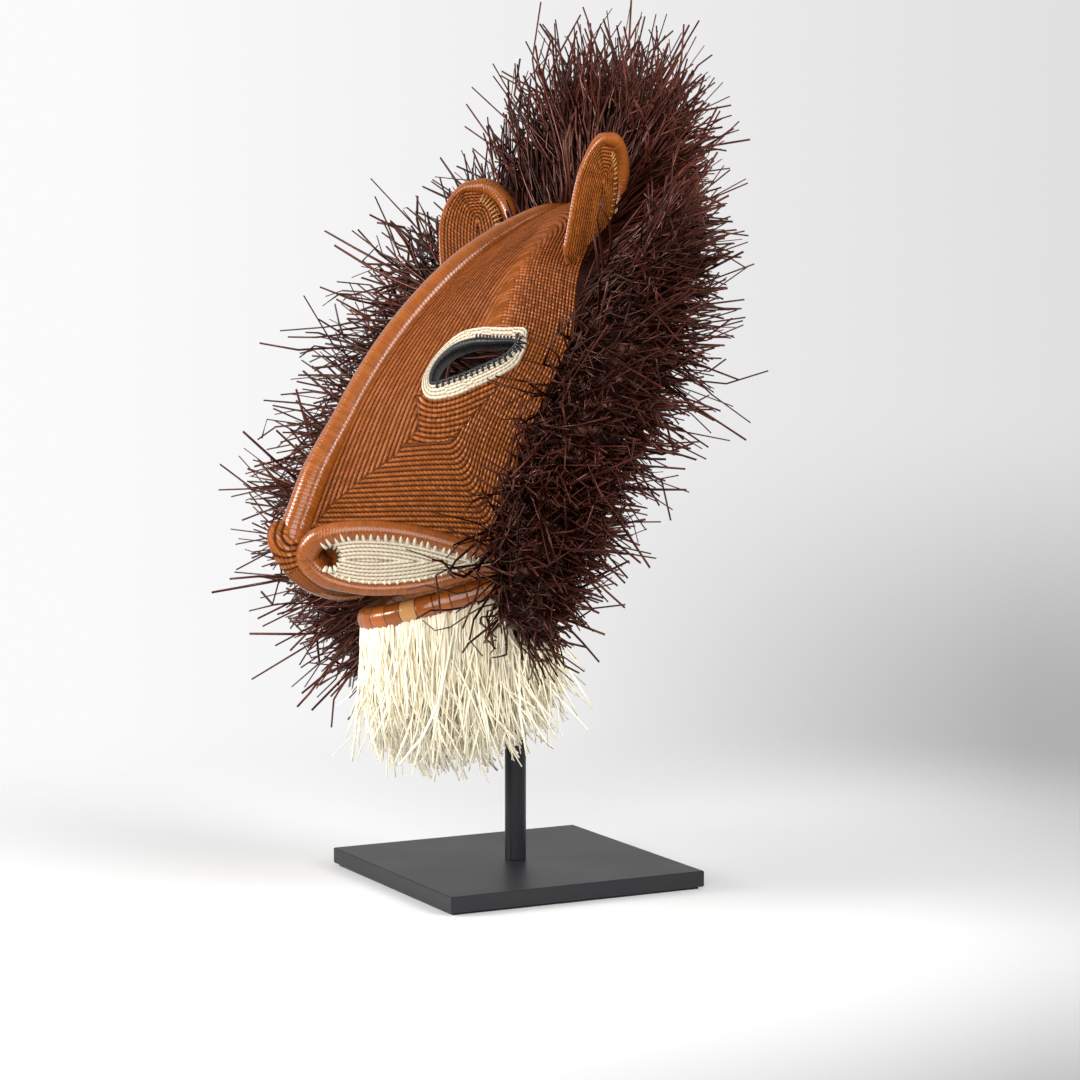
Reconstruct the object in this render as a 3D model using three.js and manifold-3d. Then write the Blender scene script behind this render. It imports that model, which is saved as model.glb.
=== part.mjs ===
// A coiled basketry animal mask with a fibre mane and beard, on its steel display stand.
// Millimetres, +Z up. The origin is the middle of the stand's underside, and the mask faces -Y.
import * as THREE from 'three';
import { mergeVertices } from 'three/addons/utils/BufferGeometryUtils.js';
import Module from 'manifold-3d';

const wasm = await Module();
wasm.setup();

// Stand
const PLATE_SIDE = 165;
const PLATE_THICK = 9.5;
const PLATE_BEVEL = 0.6;
const FELT_THICK = 1.2;
const FELT_INSET = 2.5;
const ROD_DIAMETER = 12.7;
const ROD_TOP = 378;
const ROD_SIDES = 24;

// The gap between neighbouring pieces
const GAP = 0.3;

// Pose of the mask's own frame: x to the animal's left, y to its back, z up along the face
const MASK_PLACE = [0, -10, 330];
const MASK_LEAN = 17;
const MASK_ROLL = 8.2;

// Face shell: the ridge line down the middle, the rim where the mane starts, and the wall
const RIDGE_LINE = [
  [0, 31, 84], [0, 14, 79.5], [0, -6, 65.5], [0, -38, 32.5],
  [0, -66, -13], [0, -85, -60], [0, -95, -103], [0, -101.5, -146],
];
const RIM_LINE = [
  [0, 32, 84], [34, 29, 78], [64, 19, 58], [82, 5, 24],
  [85, 6, -20], [79, 0, -57], [70, -3, -92], [64.4, 0.3, -149],
];
const WALL = 5;
const RIDGE_RADIUS = 7.5;
const RIDGE_RADIUS_AT_CROWN = 4;
const RIDGE_TAPER = 0.25;
const RIDGE_BACK = 0.45;
const ROLL_SHARE = 0.2;
const ROLL_ANGLE = 100;
const CROWN_START = 0.04;
const CHEEK_BULGE = [1, 9, 9, 4];
const BULGE_SKEW = 1.25;
const SHELL_ROWS = 18;
const SHELL_COLUMNS = 9;

// Nose pad between the nostrils
const NOSE_PLACE = [0, -95, -160];
const NOSE_HALF_SIZE = [16.5, 16.5, 18];
const NOSE_SIDES = 14;
const NOSE_LEVELS = 10;

// Eyes: a long hole whose upper lid peaks towards the ridge, a cream border and a black wrapped
// rim. The outline runs from the outer corner over the upper lid.
const EYE_SECTION = [0.64, 0.622];
const EYE_OUTLINE = [
  [29.4, -3.8], [18, 6], [7, 14.2], [-5.4, 17.6], [-17, 15], [-25.5, 8], [-27.3, 2],
  [-12.4, -4.1], [6, -7.4], [20, -8.4],
];
const EYE_TURN = 38;
const EYE_BORDER_WIDTH = 6.5;
const EYE_RIM_RADIUS = 2.2;
const EYE_RIM_SIDES = 5;
const EYE_POINTS = 20;
const EYE_CUT_DEPTH = 30;

// Muzzle: a wrapped border loop, from the rear forward along its top and back below, with a
// cream panel inside it and the nostril at its front end. These are the left side's.
const MUZZLE_LOOP = [
  [66, 5, -147], [57, -22, -143.5], [43, -54, -142.5], [29, -81, -148], [17, -92, -156],
  [10.5, -91.5, -165.5], [13, -81.5, -173.5], [25, -62.5, -176], [43, -37, -169.5], [57, -12, -156],
];
const BORDER_RADIUS_ABOVE = 5.4;
const BORDER_RADIUS_BELOW = 3.8;
const BORDER_RADIUS_AT_NOSE = 6.6;
const BORDER_THINS = [0.42, 0.6];
const BORDER_THICKENS = [0.94, 1];
const BORDER_NOSE_MIDDLE = 0.49;
const BORDER_NOSE_SPAN = 0.16;
const BORDER_STEPS = 28;
const BORDER_SIDES = 8;
const MUZZLE_OUT = [0.88, -0.45, -0.1];
const PANEL_THICK = 4;
const PANEL_LIFT = 1.5;
const PANEL_CROWN = 2;
const PANEL_SPAN = [0.06, 0.45];
const PANEL_STEPS = 8;
const NOSTRIL_RADIUS = 6.5;
const NOSTRIL_OFFSET = [6, 11, 1];
const NOSTRIL_DEPTH = 40;
const NOSTRIL_SIDES = 16;

// Lower lip and beard
const LIP_LINE = [
  [-61, 46, -138], [-60, 24, -149], [-51, 3, -162], [-30, -27, -180], [0, -40, -188],
  [30, -27, -180], [51, 3, -162], [60, 24, -149], [61, 46, -138],
];
const LIP_RADIUS = 7;
const LIP_STEPS = 24;
const LIP_SIDES = 8;
const BEARD_LENGTHS = [58, 76, 90, 86, 54];
const BEARD_SPAN = [0.02, 0.98];
const BEARD_THICK = 14;
const BEARD_DRAW = 8;
const BEARD_LEVELS = 4;
const BEARD_LOCKS = 24;
const BEARD_LOCK_DEPTH = 3;

// Ears: a leaf that keeps its width up to the shoulder, then rounds off to a blunt tip
const EAR_BASE = [70, 13, 38];
const EAR_TIP = [86.5, 3, 101.5];
const EAR_WIDTH = 46;
const EAR_INWARD_TURN = 60;
const EAR_CUP = 7;
const EAR_THICK = 4;
const EAR_ROLL = 7;
const EAR_ROLL_BAND = [0.6, 0.9];
const EAR_SHOULDER = 0.42;
const EAR_ROUND_LENGTH = 0.585;
const EAR_ROUNDNESS = 2.4;
const EAR_TIP_BAND = 0.2;
const EAR_STEPS = 10;
const EAR_COLUMNS = [-1, -0.85, -0.6, 0, 0.6, 0.85, 1];

// Mane: lengths and the fan's angles, from the crown down to the jaw
const MANE_LENGTHS = [113, 100, 84, 106, 118, 118, 114, 100, 64];
const MANE_FORWARD = [18, 4, -12, 5, 18, 20, 24, 26, 26];
const MANE_BACKWARD = 58;
const MANE_FULL_TO = 12;
const MANE_SHORT_FROM = 42;
const MANE_BACK_SHARE = 0.58;
const MANE_TAIL = [[62.5, 6, -160], [58, 10, -169]];
const MANE_LOCKS = 28;
const MANE_LOCK_DEPTH = 7;
const MANE_FURROW = 5;
const MANE_TIP_STEPS = 4;
const MANE_ROOT_GAP = 0.6;
const MANE_ROOT_FRONT = -1;
const MANE_ROOT_BACK = 5;

const X_AXIS = new THREE.Vector3(1, 0, 0);
const Y_AXIS = new THREE.Vector3(0, 1, 0);
const rad = THREE.MathUtils.degToRad;
const mix = THREE.MathUtils.lerp;
const vector = (p) => new THREE.Vector3(...p);
const mirrored = (p) => new THREE.Vector3(-p.x, p.y, p.z);
const curveThrough = (points, closed = false) =>
  new THREE.CatmullRomCurve3(points.map(vector), closed, 'centripetal');

// A value read from a few evenly spaced ones, with straight lines between them
function spread(values, t) {
  const place = Math.min(Math.max(t, 0), 1) * (values.length - 1);
  const index = Math.min(Math.floor(place), values.length - 2);
  return mix(values[index], values[index + 1], place - index);
}

// The signed volume tells whether the triangles face out
function facingOut(positions, triangles) {
  const [a, b, c] = [0, 1, 2].map(() => new THREE.Vector3());
  let volume = 0;
  for (let i = 0; i < triangles.length; i += 3) {
    a.fromArray(positions, 3 * triangles[i]);
    b.fromArray(positions, 3 * triangles[i + 1]);
    c.fromArray(positions, 3 * triangles[i + 2]);
    volume += a.dot(b.cross(c));
  }
  return volume > 0;
}

function geometryFrom(positions, triangles) {
  const order = facingOut(positions, triangles) ? triangles : triangles.slice().reverse();
  const geometry = new THREE.BufferGeometry();
  geometry.setAttribute('position', new THREE.BufferAttribute(new Float32Array(positions), 3));
  geometry.setIndex(order);
  return geometry;
}

// A solid lofted through closed rings of points. Its ends are closed by fans, or by strips
// between a ring's first and second half, or the last ring joins the first.
function loft(rings, ends = 'fan') {
  const count = rings[0].length;
  const positions = [];
  const triangles = [];
  rings.flat().forEach((p) => positions.push(p.x, p.y, p.z));
  const spans = ends === 'joined' ? rings.length : rings.length - 1;
  for (let i = 0; i < spans; i += 1) {
    const here = i * count;
    const there = ((i + 1) % rings.length) * count;
    for (let j = 0; j < count; j += 1) {
      const k = (j + 1) % count;
      triangles.push(here + j, there + j, here + k, here + k, there + j, there + k);
    }
  }
  for (const last of ends === 'joined' ? [] : [false, true]) {
    const start = last ? (rings.length - 1) * count : 0;
    const cap = [];
    if (ends === 'fan') {
      const middle = new THREE.Vector3();
      rings[last ? rings.length - 1 : 0].forEach((p) => middle.addScaledVector(p, 1 / count));
      const centre = positions.length / 3;
      positions.push(middle.x, middle.y, middle.z);
      for (let j = 0; j < count; j += 1) {
        cap.push(centre, start + j, start + ((j + 1) % count));
      }
    } else {
      for (let j = 0; j < count / 2 - 1; j += 1) {
        const far = count - 1 - j;
        cap.push(start + j, start + j + 1, start + far, start + far, start + j + 1, start + far - 1);
      }
    }
    if (last) cap.reverse();
    triangles.push(...cap);
  }
  return geometryFrom(positions, triangles);
}

// A round roll along a curve, with a radius that may change along it
function roll(curve, radiusAt, steps, sides, closed = false) {
  const frames = curve.computeFrenetFrames(steps, closed);
  const rings = [];
  for (let i = 0; i < (closed ? steps : steps + 1); i += 1) {
    const t = i / steps;
    const centre = curve.getPointAt(t);
    const ring = [];
    for (let j = 0; j < sides; j += 1) {
      const angle = (2 * Math.PI * j) / sides;
      const point = centre.clone().addScaledVector(frames.normals[i], radiusAt(t) * Math.cos(angle));
      ring.push(point.addScaledVector(frames.binormals[i], radiusAt(t) * Math.sin(angle)));
    }
    rings.push(ring);
  }
  return loft(rings, closed ? 'joined' : 'fan');
}

function solidOf(geometry) {
  const bare = geometry.clone();
  bare.deleteAttribute('normal');
  bare.deleteAttribute('uv');
  const merged = mergeVertices(bare, 1e-4);
  return new wasm.Manifold(new wasm.Mesh({
    numProp: 3,
    vertProperties: new Float32Array(merged.attributes.position.array),
    triVerts: new Uint32Array(merged.index.array),
  }));
}

// The geometry of a solid's largest body
function geometryOf(solid) {
  const bodies = solid.decompose().sort((a, b) => b.volume() - a.volume());
  const mesh = bodies[0].getMesh();
  const geometry = new THREE.BufferGeometry();
  geometry.setAttribute('position', new THREE.BufferAttribute(mesh.vertProperties, 3));
  geometry.setIndex(new THREE.BufferAttribute(mesh.triVerts, 1));
  return geometry;
}

// Cuts a geometry by others
const cutBy = (geometry, ...others) =>
  geometryOf(others.reduce((solid, other) => solid.subtract(solidOf(other)), solidOf(geometry)));

// The face shell's surface
const ridgeLine = curveThrough(RIDGE_LINE);
const rimLine = curveThrough(RIM_LINE);
const ridgeRadius = (t) => mix(RIDGE_RADIUS_AT_CROWN, RIDGE_RADIUS, Math.min(t / RIDGE_TAPER, 1));

// Everything that one section of the shell needs: the ridge roll's middle, the way in, the rim
function section(t) {
  const down = ridgeLine.getTangentAt(t);
  const inward = new THREE.Vector3(0, -down.z, down.y).normalize();
  const radius = ridgeRadius(t);
  const middle = ridgeLine.getPointAt(t).addScaledVector(inward, radius);
  const along = rimLine.getTangentAt(t);
  const outward = new THREE.Vector3(-along.z, 0, along.x).normalize();
  return { inward, radius, middle, rim: rimLine.getPointAt(t), outward, bulge: spread(CHEEK_BULGE, t) };
}

// A cheek line from a point by the ridge to a point on the rim, bulging outwards
function cheekPoint(start, end, share, { inward, bulge }) {
  const chord = end.clone().sub(start).normalize();
  const out = inward.clone().negate();
  out.addScaledVector(chord, -out.dot(chord)).normalize();
  const rise = bulge * Math.sin(Math.PI * share ** BULGE_SKEW);
  return start.clone().lerp(end, share).addScaledVector(out, rise);
}

// Outer surface: s runs from -1 at the right rim over 0 on the ridge to 1 at the left rim,
// t from 0 at the crown to 1 at the muzzle. Near the ridge the section is the round roll.
function outerPoint(s, t, grow = 0) {
  const part = section(t);
  const side = Math.abs(s);
  const around = (angle) => part.middle.clone()
    .addScaledVector(X_AXIS, (part.radius + grow) * Math.sin(angle))
    .addScaledVector(part.inward, -(part.radius + grow) * Math.cos(angle));
  const end = part.rim.clone().addScaledVector(part.outward, grow);
  const point = side <= ROLL_SHARE
    ? around(rad(ROLL_ANGLE) * side / ROLL_SHARE)
    : cheekPoint(around(rad(ROLL_ANGLE)), end, (side - ROLL_SHARE) / (1 - ROLL_SHARE), part);
  return s < 0 ? mirrored(point) : point;
}

function innerPoint(s, t, grow = 0) {
  const part = section(t);
  const start = part.middle.clone().addScaledVector(part.inward, RIDGE_BACK * part.radius + grow);
  const end = part.rim.clone().addScaledVector(part.outward, -WALL - grow);
  const point = cheekPoint(start, end, Math.abs(s), part);
  return s < 0 ? mirrored(point) : point;
}

function shellGeometry(grow = 0) {
  const shares = [];
  for (let i = -SHELL_COLUMNS; i <= SHELL_COLUMNS; i += 1) {
    shares.push(i / SHELL_COLUMNS);
  }
  const rings = [];
  for (let row = 0; row <= SHELL_ROWS; row += 1) {
    const t = mix(CROWN_START, 1, row / SHELL_ROWS);
    const front = shares.map((s) => outerPoint(s, t, grow));
    const back = shares.map((s) => innerPoint(-s, t, grow));
    rings.push([...front, ...back]);
  }
  return loft(rings, 'strip');
}

// A frame on the left cheek: a place, the way out of the face, and two ways along it
function cheekFrame(s, t, turn) {
  const step = 0.02;
  const place = outerPoint(s, t);
  const across = outerPoint(s + step, t).sub(outerPoint(s - step, t)).normalize();
  const down = outerPoint(s, t + step).sub(outerPoint(s, t - step)).normalize();
  const out = down.clone().cross(across).normalize();
  const level = across.applyAxisAngle(out, rad(turn));
  const rise = out.clone().cross(level);
  return { place, out, level, rise };
}

// The outline of an eye, grown by a margin, as points (u, v) in its frame
const eyeCurve = curveThrough(EYE_OUTLINE.map(([u, v]) => [u, v, 0]), true);
function eyeOutline(margin) {
  const outline = [];
  for (let i = 0; i < EYE_POINTS; i += 1) {
    const point = eyeCurve.getPointAt(i / EYE_POINTS);
    const along = eyeCurve.getTangentAt(i / EYE_POINTS);
    outline.push([point.x + margin * along.y, point.y - margin * along.x]);
  }
  return outline;
}

const eyeFrame = cheekFrame(...EYE_SECTION, EYE_TURN);
const inEyeFrame = ([u, v], out) => eyeFrame.place.clone()
  .addScaledVector(eyeFrame.level, u)
  .addScaledVector(eyeFrame.rise, v)
  .addScaledVector(eyeFrame.out, out);

// A straight prism through the face in the shape of the eye
function eyePrism(margin) {
  const outlineAt = (depth) => eyeOutline(margin).map((p) => inEyeFrame(p, depth));
  return loft([outlineAt(-EYE_CUT_DEPTH), outlineAt(EYE_CUT_DEPTH)]);
}

// The same geometry on the other side of the face
const flipped = (geometry) => {
  const copy = geometry.index ? geometry.toNonIndexed() : geometry.clone();
  const merged = mergeVertices(copy.scale(-1, 1, 1), 1e-5);
  return geometryFrom(Array.from(merged.attributes.position.array), Array.from(merged.index.array));
};

// The muzzle's wrapped border, thinner below and thickest where it curls round the nostril
const muzzleLoop = curveThrough(MUZZLE_LOOP, true);
const borderRadius = (grow) => (t) => {
  const { smoothstep } = THREE.MathUtils;
  const thin = smoothstep(t, ...BORDER_THINS) - smoothstep(t, ...BORDER_THICKENS);
  const nose = 1 - Math.abs(t - BORDER_NOSE_MIDDLE) / BORDER_NOSE_SPAN;
  const plain = mix(BORDER_RADIUS_ABOVE, BORDER_RADIUS_BELOW, thin);
  return mix(plain, BORDER_RADIUS_AT_NOSE, smoothstep(nose, 0, 1)) + grow;
};
const borderGeometry = (grow = 0) =>
  roll(muzzleLoop, borderRadius(grow), BORDER_STEPS, BORDER_SIDES, true);
const muzzleOut = vector(MUZZLE_OUT).normalize();

// The panel crowns between the loop's upper and lower halves
function panelGeometry() {
  const rings = [];
  for (let i = 0; i <= PANEL_STEPS; i += 1) {
    const share = mix(...PANEL_SPAN, i / PANEL_STEPS);
    const top = muzzleLoop.getPointAt(share);
    const bottom = muzzleLoop.getPointAt(1 - share);
    const front = [0, 0.5, 1].map((q) => {
      const lift = PANEL_LIFT + PANEL_CROWN * Math.sin(Math.PI * q);
      return bottom.clone().lerp(top, q).addScaledVector(muzzleOut, lift);
    });
    const back = front.map((p) => p.clone().addScaledVector(muzzleOut, -PANEL_THICK)).reverse();
    rings.push([...front, ...back]);
  }
  return loft(rings, 'strip');
}

function nostrilGeometry() {
  const centre = muzzleLoop.getPointAt(0.5).add(vector(NOSTRIL_OFFSET));
  const drill = new THREE.CylinderGeometry(NOSTRIL_RADIUS, NOSTRIL_RADIUS, NOSTRIL_DEPTH, NOSTRIL_SIDES);
  drill.applyQuaternion(new THREE.Quaternion().setFromUnitVectors(Y_AXIS, muzzleOut));
  return drill.translate(centre.x, centre.y, centre.z);
}

function noseGeometry(grow = 0) {
  const pad = new THREE.SphereGeometry(1, NOSE_SIDES, NOSE_LEVELS);
  pad.scale(...NOSE_HALF_SIZE.map((half) => half + grow));
  return pad.translate(...NOSE_PLACE);
}

const lipCurve = curveThrough(LIP_LINE);
const lipGeometry = (grow = 0) => roll(lipCurve, () => LIP_RADIUS + grow, LIP_STEPS, LIP_SIDES);

// The way down, seen from the mask's own leaning frame
const maskTurn = new THREE.Euler(rad(-MASK_LEAN), rad(-MASK_ROLL), 0, 'YXZ');
const turnBack = new THREE.Quaternion().setFromEuler(maskTurn).invert();
const downInMask = new THREE.Vector3(0, 0, -1).applyQuaternion(turnBack);

// Beard: a thick curtain that hangs from the lip and draws in below, with locks down its outside
function beardGeometry() {
  const rings = [];
  for (let level = 0; level <= BEARD_LEVELS; level += 1) {
    const drop = level / BEARD_LEVELS;
    const outside = [];
    const inside = [];
    for (let i = 0; i <= BEARD_LOCKS; i += 1) {
      const share = mix(...BEARD_SPAN, i / BEARD_LOCKS);
      const lock = BEARD_LOCK_DEPTH * (i % 2) * drop;
      const inward = lipCurve.getTangentAt(share).cross(downInMask).normalize();
      const length = spread(BEARD_LENGTHS, Math.abs(2 * share - 1)) - lock;
      const fall = LIP_RADIUS + GAP + drop * length;
      const point = lipCurve.getPointAt(share).addScaledVector(downInMask, fall);
      const draw = BEARD_DRAW * drop * drop + lock;
      outside.push(point.clone().addScaledVector(inward, draw - LIP_RADIUS * (1 - drop)));
      inside.unshift(point.clone().addScaledVector(inward, draw + mix(LIP_RADIUS, BEARD_THICK, drop)));
    }
    rings.push([...outside, ...inside]);
  }
  return loft(rings, 'strip');
}

// An ear: a cupped leaf with a rolled edge, leaning out from the crown's corner
function earGeometry(grow = 0) {
  const base = vector(EAR_BASE);
  const axis = vector(EAR_TIP).sub(base);
  const length = axis.length();
  const up = axis.clone().normalize();
  const turn = rad(EAR_INWARD_TURN);
  const facing = new THREE.Vector3(-Math.sin(turn), -Math.cos(turn), 0);
  facing.addScaledVector(up, -facing.dot(up)).normalize();
  const side = up.clone().cross(facing).normalize();
  const rings = [];
  for (let i = 0; i <= EAR_STEPS; i += 1) {
    const climb = i / EAR_STEPS;
    const rounding = Math.max(0, (climb - EAR_SHOULDER) / EAR_ROUND_LENGTH) ** EAR_ROUNDNESS;
    const half = (EAR_WIDTH / 2) * Math.sqrt(1 - rounding) + grow;
    const height = climb * length + (i === EAR_STEPS ? grow : 0);
    const place = (a, face) => {
      const edge = Math.max(Math.abs(a), (climb - 1) / EAR_TIP_BAND + 1);
      const swell = THREE.MathUtils.smoothstep(edge, ...EAR_ROLL_BAND);
      const thick = mix(EAR_THICK, EAR_ROLL, swell) * (edge === 1 ? 0.5 : 1);
      const lift = EAR_CUP * (half / EAR_WIDTH) * 2 * (a * a - 1) + face * (thick / 2 + grow);
      return base.clone()
        .addScaledVector(up, height)
        .addScaledVector(side, a * half)
        .addScaledVector(facing, lift);
    };
    rings.push([...EAR_COLUMNS.map((a) => place(a, 1)), ...EAR_COLUMNS.map((a) => place(-a, -1))]);
  }
  return loft(rings, 'strip');
}

// Mane: a horseshoe of fan-shaped sections outside the rim, from the jaw over the crown to the jaw
function maneGeometry() {
  const half = [...RIM_LINE.slice(1), ...MANE_TAIL].map(vector);
  const points = [...half.slice().reverse().map(mirrored), vector(RIM_LINE[0]), ...half];
  const rootLine = new THREE.CatmullRomCurve3(points, false, 'centripetal');
  const rings = [];
  const count = 2 * MANE_LOCKS;
  for (let i = 0; i <= count; i += 1) {
    const share = i / count;
    const along = rootLine.getTangentAt(share);
    const outward = new THREE.Vector3(-along.z, 0, along.x).normalize();
    const root = rootLine.getPointAt(share).addScaledVector(outward, MANE_ROOT_GAP);
    const side = Math.abs(2 * share - 1);
    const reach = spread(MANE_LENGTHS, side) - MANE_LOCK_DEPTH * (i % 2);
    const forward = spread(MANE_FORWARD, side);
    const strand = (length, angle) => {
      const back = THREE.MathUtils.clamp((angle - MANE_FULL_TO) / (MANE_SHORT_FROM - MANE_FULL_TO), 0, 1);
      const reached = length * mix(1, MANE_BACK_SHARE, back);
      return root.clone()
        .addScaledVector(outward, reached * Math.cos(rad(angle)))
        .addScaledVector(Y_AXIS, reached * Math.sin(rad(angle)));
    };
    const furrow = MANE_FURROW * (i % 2);
    const ring = [
      root.clone().addScaledVector(Y_AXIS, MANE_ROOT_FRONT),
      root.clone().addScaledVector(Y_AXIS, MANE_ROOT_BACK),
      strand(reach / 2, MANE_BACKWARD + MANE_FURROW - furrow),
    ];
    for (let j = 0; j <= MANE_TIP_STEPS; j += 1) {
      const tip = reach - MANE_LOCK_DEPTH * ((i + j) % 2);
      ring.push(strand(tip, mix(MANE_BACKWARD, -forward, j / MANE_TIP_STEPS)));
    }
    ring.push(strand(reach / 2, furrow - forward));
    rings.push(ring);
  }
  return loft(rings);
}

const finish = (color, roughness, metalness = 0) => ({ color, roughness, metalness });
const WOVEN_BROWN = finish(0x9a5420, 0.5);
const WRAPPED_BROWN = finish(0x8e4a1c, 0.35);
const CREAM = finish(0xe8dcc0, 0.7);
const BLACK_FIBRE = finish(0x1a1414, 0.4);
const MANE_BROWN = finish(0x3a1a14, 0.6);
const BEARD_CREAM = finish(0xefe2c4, 0.7);
const STEEL_BLACK = finish(0x1c1c1e, 0.5, 0.6);
const FELT_BLACK = finish(0x0c0c0c, 0.95);

function piece(name, geometry, look) {
  const mesh = new THREE.Mesh(geometry, new THREE.MeshStandardMaterial(look));
  mesh.name = name;
  return mesh;
}

function plateGeometry() {
  const half = PLATE_SIDE / 2 - PLATE_BEVEL;
  const outline = new THREE.Shape();
  outline.moveTo(-half, -half).lineTo(half, -half).lineTo(half, half).lineTo(-half, half).closePath();
  const bevel = { bevelThickness: PLATE_BEVEL, bevelSize: PLATE_BEVEL, bevelSegments: 1 };
  const plate = new THREE.ExtrudeGeometry(outline, { depth: PLATE_THICK - 2 * PLATE_BEVEL, ...bevel });
  return plate.translate(0, 0, FELT_THICK + GAP + PLATE_BEVEL);
}

function buildStand() {
  const stand = new THREE.Group();
  const feltSide = PLATE_SIDE - 2 * FELT_INSET;
  const felt = new THREE.BoxGeometry(feltSide, feltSide, FELT_THICK).translate(0, 0, FELT_THICK / 2);
  const foot = FELT_THICK + GAP + PLATE_THICK + GAP;
  const rod = new THREE.CylinderGeometry(ROD_DIAMETER / 2, ROD_DIAMETER / 2, ROD_TOP - foot, ROD_SIDES);
  rod.rotateX(Math.PI / 2).translate(0, 0, (ROD_TOP + foot) / 2);
  stand.add(piece('felt_pad', felt, FELT_BLACK));
  stand.add(piece('base_plate', plateGeometry(), STEEL_BLACK));
  stand.add(piece('rod', rod, STEEL_BLACK));
  return stand;
}

function buildMask() {
  const mask = new THREE.Group();
  mask.position.set(...MASK_PLACE);
  mask.rotation.copy(maskTurn);

  // The grown copies leave the gap to a neighbour when they are cut away
  const bothSides = (geometry) => [geometry, flipped(geometry)];
  const borders = bothSides(borderGeometry(GAP));
  const shellRoom = shellGeometry(GAP);
  const noseRoom = noseGeometry(GAP);
  const lipRoom = lipGeometry(GAP);
  const earRooms = bothSides(earGeometry(GAP));

  const wall = solidOf(shellGeometry());
  const face = geometryOf(wall.add(solidOf(noseGeometry())));
  const shell = cutBy(face, ...borders, ...bothSides(eyePrism(EYE_BORDER_WIDTH)));
  mask.add(piece('face_shell', shell, WOVEN_BROWN));

  const ring = solidOf(eyePrism(EYE_BORDER_WIDTH - GAP)).subtract(solidOf(eyePrism(GAP)));
  const eyeBorder = geometryOf(wall.intersect(ring));
  const rimPoints = eyeOutline(-EYE_RIM_RADIUS).map((p) => inEyeFrame(p, 0));
  const eyePath = new THREE.CatmullRomCurve3(rimPoints, true);
  const eyeRoll = roll(eyePath, () => EYE_RIM_RADIUS, EYE_POINTS, EYE_RIM_SIDES, true);
  const eyeRim = cutBy(eyeRoll, eyeBorder);
  const panel = cutBy(panelGeometry(), borders[0], nostrilGeometry(), noseRoom, shellRoom);
  const wrapped = cutBy(borderGeometry(), lipRoom, noseRoom);
  const ear = cutBy(earGeometry(), shellRoom);
  const sides = [['left', (geometry) => geometry], ['right', flipped]];
  for (const [side, toSide] of sides) {
    mask.add(piece(`eye_border_${side}`, toSide(eyeBorder), CREAM));
    mask.add(piece(`eye_rim_${side}`, toSide(eyeRim), BLACK_FIBRE));
    mask.add(piece(`muzzle_border_${side}`, toSide(wrapped), WRAPPED_BROWN));
    mask.add(piece(`muzzle_panel_${side}`, toSide(panel), CREAM));
    mask.add(piece(`ear_${side}`, toSide(ear), WOVEN_BROWN));
  }
  mask.add(piece('lower_lip', lipGeometry(), WRAPPED_BROWN));
  const beard = cutBy(beardGeometry(), lipRoom, ...borders);
  mask.add(piece('beard', beard, BEARD_CREAM));
  const mane = cutBy(maneGeometry(), shellRoom, ...borders, lipRoom, ...earRooms, beardGeometry());
  mask.add(piece('mane', mane, MANE_BROWN));
  return mask;
}

const wovenMask = new THREE.Group();
wovenMask.add(buildStand(), buildMask());

export default wovenMask;
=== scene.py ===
"""A coiled basketry animal mask with a fibre mane and beard on its steel stand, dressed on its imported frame.

Shapes are worked out in the mask's own frame in millimetres: x to the animal's left, y to its back, z up along
the face. Finished meshes are in metres in the part's frame.
"""
import math

import bpy
import numpy as np
from mathutils import Matrix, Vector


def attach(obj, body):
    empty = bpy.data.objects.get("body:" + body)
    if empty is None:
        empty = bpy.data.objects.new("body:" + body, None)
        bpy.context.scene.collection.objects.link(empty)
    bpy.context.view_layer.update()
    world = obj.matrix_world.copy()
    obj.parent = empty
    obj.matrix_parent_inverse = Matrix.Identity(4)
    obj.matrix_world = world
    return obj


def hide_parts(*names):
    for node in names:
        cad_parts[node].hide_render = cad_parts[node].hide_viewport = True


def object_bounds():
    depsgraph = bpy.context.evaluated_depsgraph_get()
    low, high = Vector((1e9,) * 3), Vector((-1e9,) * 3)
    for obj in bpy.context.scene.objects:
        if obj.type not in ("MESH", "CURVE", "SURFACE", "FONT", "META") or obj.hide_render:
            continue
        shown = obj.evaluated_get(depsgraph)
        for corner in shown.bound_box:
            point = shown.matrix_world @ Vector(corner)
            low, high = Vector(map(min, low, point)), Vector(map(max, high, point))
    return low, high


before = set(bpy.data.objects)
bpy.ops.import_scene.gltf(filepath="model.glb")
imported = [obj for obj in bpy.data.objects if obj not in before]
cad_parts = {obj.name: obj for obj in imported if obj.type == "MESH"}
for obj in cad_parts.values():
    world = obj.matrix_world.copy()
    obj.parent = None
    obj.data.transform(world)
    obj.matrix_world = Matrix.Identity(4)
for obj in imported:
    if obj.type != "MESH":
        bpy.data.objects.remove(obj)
SOLID_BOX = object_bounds()

bl_info = {
    "name": "Woven Mask",
    "version": (1, 0, 0),
    "blender": (4, 5, 0),
    "location": "3D View > Sidebar > Woven Mask",
    "description": "Builds a coiled basketry animal mask with mane and beard on its display stand",
    "category": "Object",
}

# Pose of the mask on the rod
MASK_PLACE = (0.0, -10.0, 330.0)
MASK_LEAN = 17.0
MASK_ROLL = 8.2

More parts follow.
